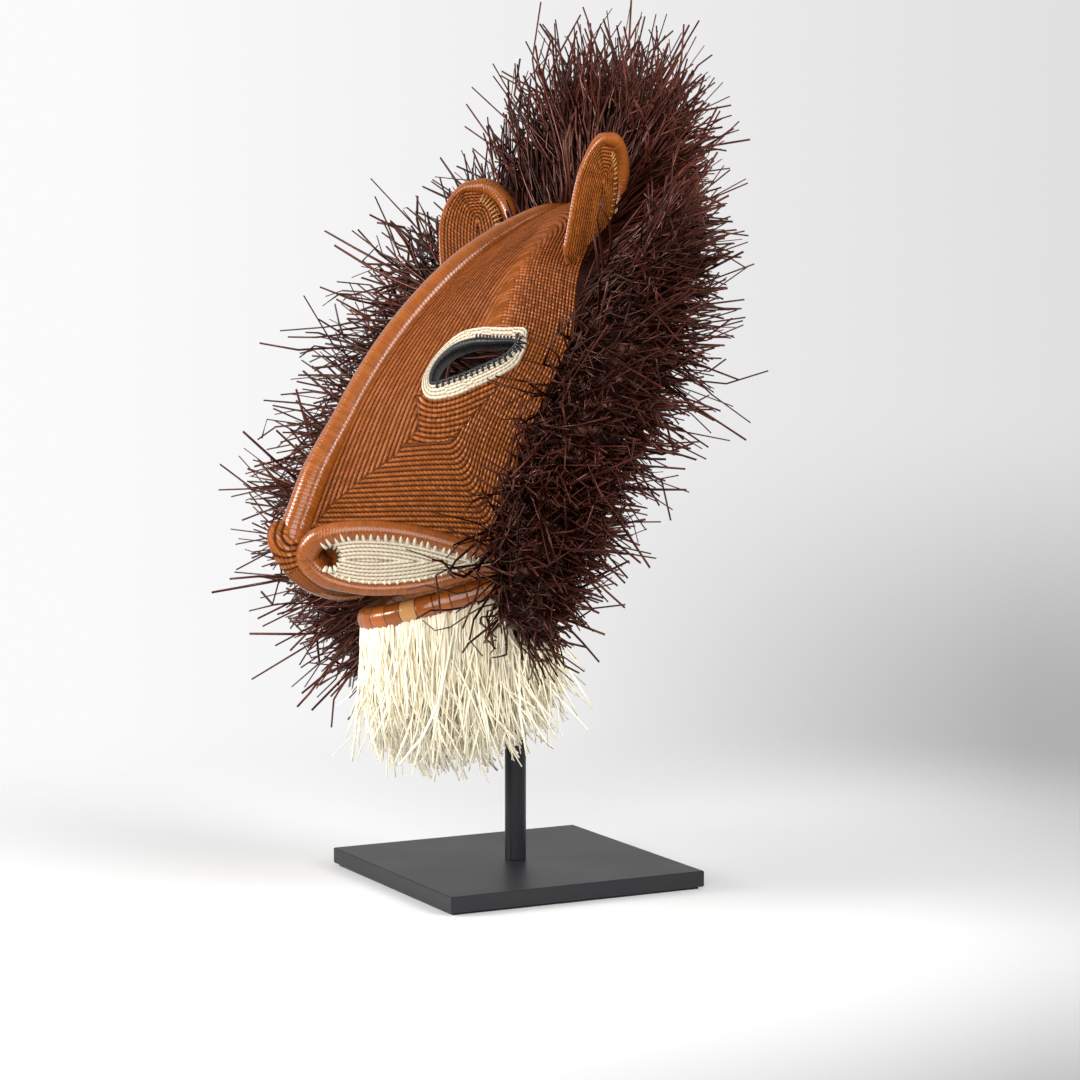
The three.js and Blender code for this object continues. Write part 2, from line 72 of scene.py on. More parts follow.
# Face: the ridge line down the middle, and the rim where the mane starts
RIDGE_LINE = ((0, 31, 84), (0, 14, 79.5), (0, -6, 65.5), (0, -38, 32.5),
              (0, -66, -13), (0, -85, -60), (0, -95, -103), (0, -101.5, -146))
RIM_LINE = ((0, 32, 84), (34, 29, 78), (64, 19, 58), (82, 5, 24),
            (85, 6, -20), (79, 0, -57), (70, -3, -92), (64.4, 0.3, -149))
WALL = 5.0
RIDGE_RADIUS = (4.0, 7.5)
RIDGE_TAPER = 0.25
RIDGE_BACK = 0.45
RIDGE_WRAP = 1.4
RIDGE_LIFT = 0.16
RIDGE_LOWER = (0.72, 0.92)
RIDGE_LOWER_FORWARD = (0, -3.9, 0)
RIDGE_LOWER_MORE = 1.3
RIDGE_RUN_ON = (0, -1.4, -17.0)
RIDGE_RUN_SHARE = 0.045
ROLL_ANGLE = 100.0
CROWN_START = 0.024
CHEEK_BULGE = (1, 9, 9, 4)
BULGE_SKEW = 1.25
UNDER_ROLL = -0.02
INSIDE_LENGTH = 265.0
# Tone of the inner wall, which turns its colour to painted shade
INSIDE_SHADE_TONE = 3.0

# The diagonal seam of the coil rows from the eye's lower corner to the nose: share of the way down, share across
SEAM_DOWN = (0.69, 0.768, 0.826, 0.889, 0.949, 1.0)
SEAM_ACROSS = (0.305, 0.41, 0.333, 0.177, 0.063, 0.01)
LEVEL_ROW_RISE = 19.0
RIM_ROW_OFFSET = -3.0
UNDER_EYE_ROW = 16.5
UNDER_EYE_LEAN = 55.0
UNDER_EYE_FROM = 0.66
OUTER_SEAM = (0.6, 0.6)
ROWS_WIDEN = 0.4
ROW_BLEND = 3.0
CROWN_BLEND = 9.0
GROOVE_KEPT = 3.2
SEAM_GROOVE = 0.9
STITCH_SLOPE = 0.7
STITCH_STEP = 0.618
FINE_FLAT = 0.7

# Nose: an oval pad whose first rows are nested round the end of the ridge
NOSE_PLACE = (0, -91.5, -164)
NOSE_HALF_SIZE = (14.5, 12.5, 25)
NOSE_LEAN = 58.0
NOSE_ROWS_FROM = (0, -100, -155)
NOSE_TURN_REACH = 20.0
NOSE_LINES = 76
NOSE_ROW_SHARE = 0.85
NOSE_SLIM = 0.45
NOSE_SLIM_FROM = (-0.5, 0.6)
NOSE_RELIEF = 0.8
NOSE_FINE = 0.6

# Eyes: the hole's outline from its outer corner over the upper lid, and the outline of the cream border
EYE_SECTION = (0.64, 0.622)
ROLL_SHARE = 0.2
EYE_OUTLINE = ((29.4, -3.8), (18, 6), (7, 14.2), (-5.4, 17.6), (-17, 15), (-25.5, 8), (-27.3, 2),
               (-12.4, -4.1), (6, -7.4), (20, -8.4))
EYE_BORDER_OUTLINE = ((36.3, 1.2), (25.2, 9.2), (13.5, 17.6), (2.4, 22), (-11.1, 19.9), (-23, 14), (-31, 6.5),
                      (-33, -1.5), (-30, -7), (-19, -12.2), (-4.9, -14.6), (10, -16), (20.5, -15.4), (29, -10.5),
                      (34.6, -3.2))
EYE_TURN = 38.0
EYE_STEP = 0.02
EYE_HOLE_MARGIN = 2.6
EYE_COIL_PITCH = 2.3
EYE_COIL_EDGE = 1.3
EYE_COIL_RELIEF = 0.8
EYE_COIL_STITCHES = 56
EYE_RIM_RADIUS = 2.1
EYE_RIM_MORE_ABOVE = 1.3
EYE_RIM_DEPTH = 5.6
EYE_RIM_TURNS = 110
# Stitches over the border: first and last share of the hole's outline, count, reach and radius
EYE_STITCHES = ((0.58, 0.95, 15, 2.7, 1.15), (0.966, 1.018, 5, 4.2, 1.1), (0.04, 0.2, 11, 1.5, 0.8))
SPIKE_TAPER = (1.0, 1.0, 0.9, 0.7, 0.2)

# Muzzle, lip, beard
MUZZLE_LOOP = ((66, 5, -147), (57, -22, -143.5), (43, -54, -142.5), (29, -81, -148), (17, -92, -156),
               (10.5, -91.5, -165.5), (13, -81.5, -173.5), (25, -62.5, -176), (43, -37, -169.5), (57, -12, -156))
BORDER_RADIUS_ABOVE = 5.4
BORDER_RADIUS_BELOW = 3.8
BORDER_RADIUS_AT_NOSE = 6.6
BORDER_THINS = (0.42, 0.6)
BORDER_THICKENS = (0.94, 1.0)
BORDER_NOSE_MIDDLE = 0.49
BORDER_NOSE_SPAN = 0.16
BORDER_LIFT = 0.13
PANEL_STRETCH = (0.015, 0.48)
PANEL_LIFT = 1.5
PANEL_CROWN = 2
PANEL_RELIEF = 0.55
PANEL_BACK = 2.6
PANEL_STITCH = 2.6
STITCH_REACH = (66.0, 60.0)
MUZZLE_OUT = (0.88, -0.45, -0.1)
NOSTRIL_RADIUS = 6.5
NOSTRIL_DEPTH = 15
NOSTRIL_TURNS = 8
NOSTRIL_OFFSET = (6, 11, 1)
LIP_LINE = ((-61, 46, -138), (-60, 24, -149), (-51, 3, -162), (-30, -27, -180), (0, -40, -188),
            (30, -27, -180), (51, 3, -162), (60, 24, -149), (61, 46, -138))
LIP_RADIUS = 7.0
LIP_BAND = 16.0
LIP_GROOVE = 0.35
LIP_STEP = 0.12
BEARD_LENGTHS = (58, 76, 90, 86, 54)
BEARD_STRETCH = (0.03, 0.94)
BEARD_CORE_STRETCH = (0.04, 0.93)
BEARD_CORE_SHARE = 0.7
BEARD_FLANK = (0.05, 0.5)
BEARD_UNEVEN = (0.62, 1.06)
BEARD_CLUMPS = 46
BEARD_SEGMENTS = 5
BEARD_TAPER = 0.75
BEARD_SWAY = 0.05

# Ears
EAR_BASE = (70, 13, 38)
EAR_TIP = (86.5, 3, 101.5)
EAR_WIDTH = 46.0
EAR_INWARD_TURN = 60.0
EAR_CUP = 1.5
EAR_THICK = 2.6
EAR_FOOT = -0.22
EAR_SHOULDER = 0.42
EAR_ROUND_LENGTH = 0.585
EAR_ROUNDNESS = 2.4
EAR_ROW = 2.0
EAR_STITCH = 2.6
EAR_WRAP = 1.2
EAR_LIFT = 0.12
EAR_ROLL_RADIUS = (5.2, 1.2)
EAR_ROLL_THINS = (0.46, 0.66)
# Foot, bow and tip of an ear stitch: how far in from the edge, out from the leaf and up
EAR_STITCH_PLACES = ((11.4, 1.2, 0.0), (8.8, 2.8, 0.0), (5.6, 1.8, 0.8))
EAR_STITCH_RADIUS = 0.7

# Loose strands: their wave and hook, their flattened section, and how they are cut to stay near the part's box
STRAND_WAVES = 6
STRAND_PHASE = 6.28
STRAND_WAVE_LIMIT = 1.7
STRAND_HOOK_LIMIT = 1.5
STRAND_WIDE = 1.3
STRAND_FLAT = 0.7
STRAND_SPARE = 0.009
STRAND_CUTS = 8
STRAND_CUT = 0.88

# Mane: lengths and the forward limit of its fan, from the crown down to the jaw
MANE_LENGTHS = (113, 100, 84, 106, 118, 118, 114, 100, 64)
MANE_FORWARD = (18, 4, -12, 5, 18, 20, 24, 26, 26)
MANE_BACKWARD = 58.0
MANE_FULL_TO = 12.0
MANE_SHORT_FROM = 42.0
MANE_BACK_SHARE = 0.58
MANE_EAR_AT = 0.3
MANE_EAR_SPAN = 0.11
MANE_EAR_BACK = 17.0
MANE_TUFT_FORWARD = 12.0
MANE_TUFT_SPAN = 0.12
MANE_REAR_SHARE = 0.12
MANE_REAR_END = 100.0
MANE_RIGHT_TURN = 5
MANE_LOOSE_SHARE = 0.02
MANE_CLUMPS = 70
MANE_SHARED_BEND = 0.15
MANE_SAG = 0.07
MANE_LOW_SAG = 0.12
MANE_CORE_SHARE = 0.62
MANE_SEGMENTS = 6
MANE_TAPER = 0.6
MANE_SWAY = 0.115
MANE_GLOSS = (0.9, 0.42, 0.3)
TO_BACK = (0, 1.0, 0)
# On the right side and elsewhere: uneven length, limit of the forward bend, thickness
MANE_UNEVEN = (0.34, 0.42)
MANE_FORWARD_BEND = (-0.4, -0.08)
MANE_THICKER = (1.25, 1.12)
# Stretches of the mane: piece, first and last share of the root line, density, crowding towards the first share
MANE_STRETCHES = (("mane_right", 0.0, 0.36, 1.35, 1.2), ("mane_crown", 0.36, 0.64, 1.0, 1.0),
                  ("mane_left", 0.64, 1.0, 1.0, 1.0))
BINDING_RADIUS = 2.8
BINDING_MORE = 2.5
BINDING_BACK = (0, 2.6, 0)
MANE_TAIL = ((62.5, 6, -160), (58, 10, -169))

# Felt under the plate: its darkest and lightest shade
FELT_DARK = (0.004, 0.004, 0.004)
FELT_LIGHT = (0.02, 0.02, 0.02)

# Stage: the floor's reach and fade, and each light's steps to the right, towards the camera and up, and its size
FLOOR_REACH = 12.0
FLOOR_FADE = (0.2, 0.64)
LIGHT_MIDDLE = (0.0, 0.0, 0.28)
LIGHTS = (("key_light", -1.7, 0.25, 0.55, 0.8), ("fill_light", -0.35, 1.9, 0.3, 1.4),
          ("side_light", 1.4, 1.1, 0.75, 1.0))
# Backdrop seen by the camera: painted shade that darkens it from left to right, and a painted shadow low on the right
BACKDROP_SHADE_ACROSS = (-0.2, 0.14, 0.72, 0.965)
BACKDROP_SHADOW_ASIDE = (0.0, -0.15, 0.0, 0.42)
BACKDROP_SHADOW_LOW = (0.045, -0.06)
ROOM_TURN = (-0.3, 0.5)
ROOM_NEAR = 0.35

# The camera of the view: where it stands, the way it looks, its lens
CAMERA_PLACE = (1.68635, -0.85016, 0.38628)
CAMERA_AZIMUTH = 62.8
CAMERA_DROP = 5.55
CAMERA_LENS = 106.667
CAMERA_SENSOR = 36.0


def length(name, description, default, **more):
    """A length property in metres."""
    return bpy.props.FloatProperty(name=name, description=description, default=default, unit="LENGTH",
                                   precision=4, **more)


def colour(name, description, default):
    """A colour property, linear red, green and blue."""
    return bpy.props.FloatVectorProperty(name=name, description=description, default=default, subtype="COLOR",
                                         size=3, min=0.0, max=1.0)


class WovenMaskSizes(bpy.types.PropertyGroup):
    """Sizes and counts of the woven detail."""
    ridge_pitch: length("Ridge row pitch", "Width of a coil row beside the ridge", 0.00275)
    rim_pitch: length("Rim row pitch", "Width of a coil row along the rim", 0.00195)
    cheek_pitch: length("Cheek row pitch", "Width of a level coil row above the muzzle", 0.0029)
    row_relief: length("Row relief", "How far a coil row stands out", 0.0008)
    stitch: length("Stitch length", "Length of one stitch along a coil row", 0.0025)
    roll_wrap: length("Roll wrap", "Width of one turn of fibre round the ridge and the muzzle border", 0.0017)
    lip_wrap: length("Lip wrap", "Width of one flat turn round the lower lip", 0.0095)
    cream_pitch: length("Cream row pitch", "Width of a coil row of the cream panel", 0.0021)
    strand_radius: length("Mane strand radius", "Radius of one mane strand at its root", 0.0008)
    beard_radius: length("Beard strand radius", "Radius of one beard strand at its root", 0.0007)
    mane_strands: bpy.props.IntProperty(name="Mane strands", description="Number of strands in the mane",
                                        default=10400, min=100)
    beard_strands: bpy.props.IntProperty(name="Beard strands", description="Number of strands in the beard",
                                         default=3400, min=100)
    seed: bpy.props.IntProperty(name="Seed", description="Start of the random numbers", default=7)


class WovenMaskColours(bpy.types.PropertyGroup):
    """Colours of the fibres and the stand."""
    woven: colour("Woven brown", "Stitched fibre of the face", (0.262, 0.064, 0.008))
    woven_red: colour("Woven red brown", "Stitched fibre low on the cheek", (0.325, 0.088, 0.013))
    # Groove: painted shade between two coil rows, mixed in where the cord sinks low
    groove_shade: colour("Groove", "Between two coil rows", (0.03, 0.007, 0.003))
    wrapped: colour("Wrapped brown", "Flat fibre wrapped round rolls", (0.29, 0.074, 0.009))
    light_band: colour("Light band", "The lighter turn on the lip", (0.5, 0.24, 0.075))
    cream: colour("Cream", "Undyed coil of eyes and muzzle", (0.7, 0.63, 0.48))
    cream_gap: colour("Cream gap", "Between two cream rows", (0.26, 0.15, 0.065))
    black: colour("Black", "Wrapped rim of the eyes", (0.008, 0.006, 0.007))
    mane_dark: colour("Mane dark", "Darkest mane fibre", (0.004, 0.001, 0.001))
    mane_light: colour("Mane light", "Lightest mane fibre", (0.1, 0.022, 0.013))
    beard: colour("Beard", "Undyed beard fibre", (0.99, 0.92, 0.73))
    beard_deep: colour("Beard deep", "Beard fibre in its yellow parts", (0.95, 0.84, 0.6))
    steel: colour("Steel", "Powder coat of plate and rod", (0.011, 0.011, 0.013))
    floor: colour("Floor", "The pale floor", (0.68, 0.68, 0.68))


class WovenMaskStage(bpy.types.PropertyGroup):
    """Light of the studio."""
    key_power: bpy.props.FloatProperty(name="Key power", description="Power of the large soft light", default=42.0,
                                       unit="POWER")
    fill_power: bpy.props.FloatProperty(name="Fill power", description="Power of the fill light", default=30.0,
                                        unit="POWER")
    side_power: bpy.props.FloatProperty(name="Side power", description="Power of the light from the right",
                                        default=42.0, unit="POWER")
    sky: bpy.props.FloatProperty(name="Sky", description="Strength of the even light all round", default=0.66,
                                 min=0.0)


def sizes():
    """The sizes set in the panel."""
    return bpy.context.scene.woven_mask_sizes


def colours():
    """The colours set in the panel."""
    return bpy.context.scene.woven_mask_colours


def mm(metres):
    """Metres to millimetres."""
    return metres * 1000.0


def unit(v):
    """Vectors scaled to length one."""
    return v / np.maximum(np.linalg.norm(v, axis=-1, keepdims=True), 1e-12)


def turn_matrix():
    """The mask's lean about x, then its roll about y."""
    lean, roll = math.radians(-MASK_LEAN), math.radians(-MASK_ROLL)
    about_x = np.array([[1, 0, 0], [0, math.cos(lean), -math.sin(lean)], [0, math.sin(lean), math.cos(lean)]])
    about_y = np.array([[math.cos(roll), 0, math.sin(roll)], [0, 1, 0], [-math.sin(roll), 0, math.cos(roll)]])
    return about_y @ about_x


def to_part(points):
    """Mask frame in millimetres to part frame in metres."""
    return (points @ turn_matrix().T + np.array(MASK_PLACE)) * 0.001


def smooth_path(knots, closed=False, dense=48):
    """A centripetal Catmull-Rom curve through the knots as a fine line: its points, the share of the whole length
    at each, and that length."""
    knots = np.array(knots, float)
    if closed:
        ends = np.vstack([knots[-1], knots, knots[0], knots[1]])
    else:
        ends = np.vstack([2 * knots[0] - knots[1], knots, 2 * knots[-1] - knots[-2]])
    a, b, c, d = ends[:-3], ends[1:-2], ends[2:-1], ends[3:]
    ab, bc, cd = (np.sqrt(np.linalg.norm(p - q, axis=1))[:, None] for p, q in ((a, b), (b, c), (c, d)))
    leave = ((b - a) / ab - (c - a) / (ab + bc) + (c - b) / bc) * bc
    arrive = ((c - b) / bc - (d - b) / (bc + cd) + (d - c) / cd) * bc
    u = (np.arange(dense) / dense)[None, :, None]
    b, c, leave, arrive = (x[:, None] for x in (b, c, leave, arrive))
    line = b + leave * u + (3 * c - 3 * b - 2 * leave - arrive) * u ** 2 + (2 * b - 2 * c + leave + arrive) * u ** 3
    line = np.vstack([line.reshape(-1, 3), ends[-2] if not closed else knots[0]])
    run = np.concatenate([[0.0], np.cumsum(np.linalg.norm(np.diff(line, axis=0), axis=1))])
    return line, run / run[-1], run[-1]


def on_path(path, share):
    """Points at shares of a path's length."""
    line, shares, _ = path
    return np.stack([np.interp(share, shares, line[:, i]) for i in range(3)], -1)


def heading(path, share, closed=False, step=2e-3):
    """The way along a path, from two points a small step apart."""
    if closed:
        return unit(on_path(path, (share + step) % 1.0) - on_path(path, (share - step) % 1.0))
    return unit(on_path(path, np.clip(share + step, 0, 1)) - on_path(path, np.clip(share - step, 0, 1)))


def spread(values, share):
    """A value read from evenly spaced ones with straight lines between."""
    return np.interp(share, np.linspace(0, 1, len(values)), values)


def smoothstep(x, low, high):
    """0 below the low end, 1 above the high end and a soft cubic between."""
    x = np.clip((x - low) / (high - low), 0, 1)
    return x * x * (3 - 2 * x)


def soft_min(a, b, width):
    """The smaller of two fields, rounded where they meet within a width."""
    h = np.clip(0.5 + 0.5 * (b - a) / width, 0, 1)
    return b + (a - b) * h - width * h * (1 - h)


def cord_profile(row):
    """Height of a round cord across a row: 0 in the groove, 1 on its crest."""
    x = 2 * (row % 1.0) - 1
    return 1 - x * x


def grid_quads(rows, columns, around=False, along=False):
    """Corner numbers of the quads of a grid of points, joined round its columns or along its rows if asked."""
    i = np.arange(rows if along else rows - 1)
    j = np.arange(columns if around else columns - 1)
    i, j = (x.ravel() for x in np.meshgrid(i, j, indexing="ij"))
    i2, j2 = (i + 1) % rows, (j + 1) % columns
    return np.stack([i * columns + j, i2 * columns + j, i2 * columns + j2, i * columns + j2], 1)


def capped_grid(rows, columns, flip=False):
    """Faces of a grid that is joined round its columns, with a cap on its first and its last row."""
    faces = [grid_quads(rows, columns, around=True), np.arange(columns)[None, ::-1],
             ((rows - 1) * columns + np.arange(columns))[None, :]]
    return [f[:, ::-1] for f in faces] if flip else faces


def add_piece(name, points, faces, material, slot, replaces=(), flip=False, **attributes):
    """Puts points and a list of face arrays into a mesh whose object sits at the origin and rides on the part."""
    points = np.asarray(points, float).reshape(-1, 3)
    faces = [np.asarray(f, int) for f in faces if len(f)]
    if flip:
        faces = [f[:, ::-1] for f in faces]
    corners = np.concatenate([f.ravel() for f in faces])
    counts = np.concatenate([np.full(len(f), f.shape[1]) for f in faces])
    mesh = bpy.data.meshes.new(name)
    mesh.vertices.add(len(points))
    mesh.vertices.foreach_set("co", points.astype(np.float32).ravel())
    mesh.loops.add(len(corners))
    mesh.loops.foreach_set("vertex_index", corners.astype(np.int32))
    mesh.polygons.add(len(counts))
    mesh.polygons.foreach_set("loop_start", np.concatenate([[0], np.cumsum(counts)[:-1]]).astype(np.int32))
    mesh.polygons.foreach_set("use_smooth", np.ones(len(counts), bool))
    for key, values in attributes.items():
        data = mesh.attributes.new(key, "FLOAT", "POINT")
        data.data.foreach_set("value", np.asarray(values, np.float32).ravel())
    mesh.update(calc_edges=True)
    if mesh.validate():
        raise RuntimeError(f"{name}: the mesh had bad faces")
    mesh.materials.append(material)
    piece = bpy.data.objects.new(name, mesh)
    bpy.context.scene.collection.objects.link(piece)
    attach(piece, "root")
    if replaces:
        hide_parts(*replaces)
    return piece


def used_points(points, faces, **attributes):
    """Drops the points that no face uses, and renumbers the faces."""
    keep = np.zeros(len(points), bool)
    for f in faces:
        keep[np.asarray(f).ravel()] = True
    number = np.cumsum(keep) - 1
    return points[keep], [number[f] for f in faces], {k: np.asarray(v).ravel()[keep] for k, v in attributes.items()}


def tube(centres, ways, radii, sides, closed=False, swell=None):
    """A round tube: at each centre a circle across the way along, of a radius that may change with a swell that
    is given for every point. Returns points (steps, sides, 3) and faces with end caps."""
    ways = unit(ways)
    reference = np.cross(ways, np.roll(ways, 1, axis=0) + np.array([0.31, 0.2, 0.9]))
    first = unit(np.cross(ways, np.array([0.0, 0.0, 1.0]) + 1e-3 * reference))
    second = np.cross(ways, first)
    angle = np.linspace(0, 2 * np.pi, sides, endpoint=False)
    radius = np.broadcast_to(np.asarray(radii, float).reshape(-1, 1), (len(centres), sides))
    if swell is not None:
        radius = radius + swell
    points = (centres[:, None] + radius[..., None] * (np.cos(angle)[None, :, None] * first[:, None]
                                                      + np.sin(angle)[None, :, None] * second[:, None]))
    faces = [grid_quads(len(centres), sides, around=True, along=closed)]
    if not closed:
        last = (len(centres) - 1) * sides
        faces += [np.arange(sides)[None, :], (last + np.arange(sides))[None, ::-1]]
    return points, faces


def wrapped_roll(centres, ways, radii, turn, lift, tone, sides, closed=False, around=6.0):
    """A tube whose radius is lifted over each turn of fibre. Its attributes are the turn as row, the place round the
    tube as along, and a tone."""
    over = np.ones((len(turn), sides))
    points, faces = tube(centres, ways, radii, sides, closed, lift[:, None] * over)
    return points, faces, {"row": turn[:, None] * over, "along": np.linspace(0, around, sides)[None, :] * over,
                           "tone": np.reshape(tone, (-1, 1)) * over}


def strands(roots, ways, lengths, bends, radii, segments, generator, taper, sway):
    """Many thin flattened three-sided tubes: strand i leaves its root along its way and bends by its bend times the
    square of the share run, with a wave and a hook at its tip. Strands that leave the part's box are cut shorter. The
    radius falls to the taper at the tip. Whole arrays throughout. Returns points (strands, rings, 3 sides, 3) and
    faces."""
    count, rings = len(roots), segments + 1
    run = np.linspace(0, 1, rings)[None, :, None]
    wave = np.clip(generator.normal(0, 1, (count, 1, 3)), -STRAND_WAVE_LIMIT, STRAND_WAVE_LIMIT) * sway
    phase = generator.uniform(0, STRAND_PHASE, (count, 1, 1))
    hook = np.clip(generator.normal(0, 1, (count, 1, 3)), -STRAND_HOOK_LIMIT, STRAND_HOOK_LIMIT) * sway
    course = (run * ways[:, None] + run ** 2 * bends[:, None] + run * wave * np.sin(STRAND_WAVES * run + phase)
              + run ** 4 * hook)
    low, high = (np.array(corner) for corner in SOLID_BOX)
    for _ in range(STRAND_CUTS):
        line = roots[:, None] + lengths[:, None, None] * course
        place = to_part(line)
        outside = ((place < low - STRAND_SPARE) | (place > high + STRAND_SPARE)).any((1, 2))
        lengths = np.where(outside, STRAND_CUT * lengths, lengths)
    along = unit(np.gradient(line, axis=1))
    aside = unit(np.cross(along, generator.normal(0, 1, (count, 1, 3))))
    over = np.cross(along, aside)
    radius = radii[:, None] * (1 - (1 - taper) * run[..., 0] ** 1.5)
    angle = np.array([0.0, 2 * np.pi / 3, 4 * np.pi / 3])[:, None]
    points = line[:, :, None] + radius[:, :, None, None] * (STRAND_WIDE * np.cos(angle) * aside[:, :, None]
                                                            + STRAND_FLAT * np.sin(angle) * over[:, :, None])
    start = np.arange(count)[:, None] * rings * 3
    quads = grid_quads(rings, 3, around=True)[None] + start[..., None]
    caps = [start + np.array([[0, 1, 2]]), start + segments * 3 + np.array([[2, 1, 0]])]
    return points, [quads.reshape(-1, 4), *caps]


def ridge_and_rim():
    """Smooth paths down the ridge and down the left rim."""
    return smooth_path(RIDGE_LINE), smooth_path(RIM_LINE)


def outward_of(along):
    """The way out of the face, across a way along the rim."""
    return unit(np.stack([-along[..., 2], np.zeros_like(along[..., 0]), along[..., 0]], -1))


def section(t):
    """At a share down the face: the way in, the ridge roll's radius and middle, the rim, the way out at the rim,
    and how far the cheek bulges."""
    ridge, rim = ridge_and_rim()
    down = heading(ridge, t)
    inward = unit(np.stack([np.zeros_like(t), -down[..., 2], down[..., 1]], -1))
    radius = RIDGE_RADIUS[0] + (RIDGE_RADIUS[1] - RIDGE_RADIUS[0]) * np.minimum(t / RIDGE_TAPER, 1)
    middle = on_path(ridge, t) + radius[..., None] * inward
    return inward, radius, middle, on_path(rim, t), outward_of(heading(rim, t)), spread(CHEEK_BULGE, t)


def bulged(start, end, share, inward, bulge):
    """A line from start to end that bulges out by a sine of the share."""
    chord = unit(end - start)
    out = -inward
    out = unit(out - (out * chord).sum(-1, keepdims=True) * chord)
    rise = bulge * np.sin(np.pi * np.clip(share, 0, 1) ** BULGE_SKEW)
    return start + (end - start) * share[..., None] + out * rise[..., None]


def cheek(share, t):
    """Outer cheek: from the edge of the ridge roll at share 0 to the rim at share 1."""
    inward, radius, middle, rim, _, bulge = section(t)
    angle = math.radians(ROLL_ANGLE)
    edge = middle + radius[..., None] * (math.sin(angle) * np.array([1.0, 0, 0]) - math.cos(angle) * inward)
    return bulged(edge, rim, share, inward, bulge)


def cheek_inside(share, t):
    """Inner wall: from behind the ridge roll at share 0 to the rim less the wall at share 1."""
    inward, radius, middle, rim, outward, bulge = section(t)
    return bulged(middle + (RIDGE_BACK * radius)[..., None] * inward, rim - WALL * outward, share, inward, bulge)


def eye_frame():
    """Place of the eye on the left cheek, with the ways along its length, up and out."""
    t = EYE_SECTION[1]
    across_share = (EYE_SECTION[0] - ROLL_SHARE) / (1 - ROLL_SHARE)
    wide = EYE_STEP / (1 - ROLL_SHARE)

    def at(q, t):
        return cheek(np.array(q), np.array(t))
    across = unit(at(across_share + wide, t) - at(across_share - wide, t))
    down = unit(at(across_share, t + EYE_STEP) - at(across_share, t - EYE_STEP))
    out = unit(np.cross(down, across))
    turn = math.radians(EYE_TURN)
    level = across * math.cos(turn) + np.cross(out, across) * math.sin(turn)
    return at(across_share, t), level, np.cross(out, level), out


def closed_outline(knots, margin, count):
    """A smooth closed outline through (u, v) knots, sampled evenly by length and grown outwards by a margin."""
    path = smooth_path([(u, v, 0.0) for u, v in knots], True)
    share = np.arange(count) / count
    way = heading(path, share, True, 6e-3)
    return (on_path(path, share) + margin * np.stack([way[:, 1], -way[:, 0], 0 * share], -1))[:, :2]


def in_outline(points, outline):
    """Which (u, v) points lie inside a closed outline, by the even-odd rule."""
    x, y = points[..., 0, None], points[..., 1, None]
    x1, y1 = outline[:, 0], outline[:, 1]
    x2, y2 = np.roll(x1, -1), np.roll(y1, -1)
    crosses = (y1 > y) != (y2 > y)
    at = x1 + (y - y1) * (x2 - x1) / np.where(np.abs(y2 - y1) < 1e-9, 1e-9, y2 - y1)
    return (np.sum(crosses & (x < at), axis=-1) % 2) == 1


def nearest(points, line):
    """Distance from each point to the nearest point of a fine line."""
    flat = points.reshape(-1, points.shape[-1])
    squared = (flat ** 2).sum(1)[:, None] + (line ** 2).sum(1)[None] - 2 * flat @ line.T
    return np.sqrt(np.maximum(squared.min(1), 0)).reshape(points.shape[:-1])


def eye_surface():
    """Height of the cheek over the eye's own plane as a cubic in (u, v), fitted to the cheek round the eye."""
    place, level, rise, out = eye_frame()
    q, t = np.meshgrid(np.linspace(0.12, 0.95, 50), np.linspace(0.46, 0.8, 50))
    offset = cheek(q, t) - place
    u, v, h = offset @ level, offset @ rise, offset @ out
    near = (np.abs(u) < 44) & (np.abs(v) < 30)
    powers = [(i, j) for i in range(4) for j in range(4 - i)]
    terms = np.stack([u[near] ** i * v[near] ** j for i, j in powers], 1)
    factors = np.linalg.lstsq(terms, h[near], rcond=None)[0]

    def place_on_cheek(uv, lift):
        u, v = uv[..., 0], uv[..., 1]
        height = sum(f * u ** i * v ** j for f, (i, j) in zip(factors, powers)) + lift
        return place + u[..., None] * level + v[..., None] * rise + height[..., None] * out
    return place_on_cheek


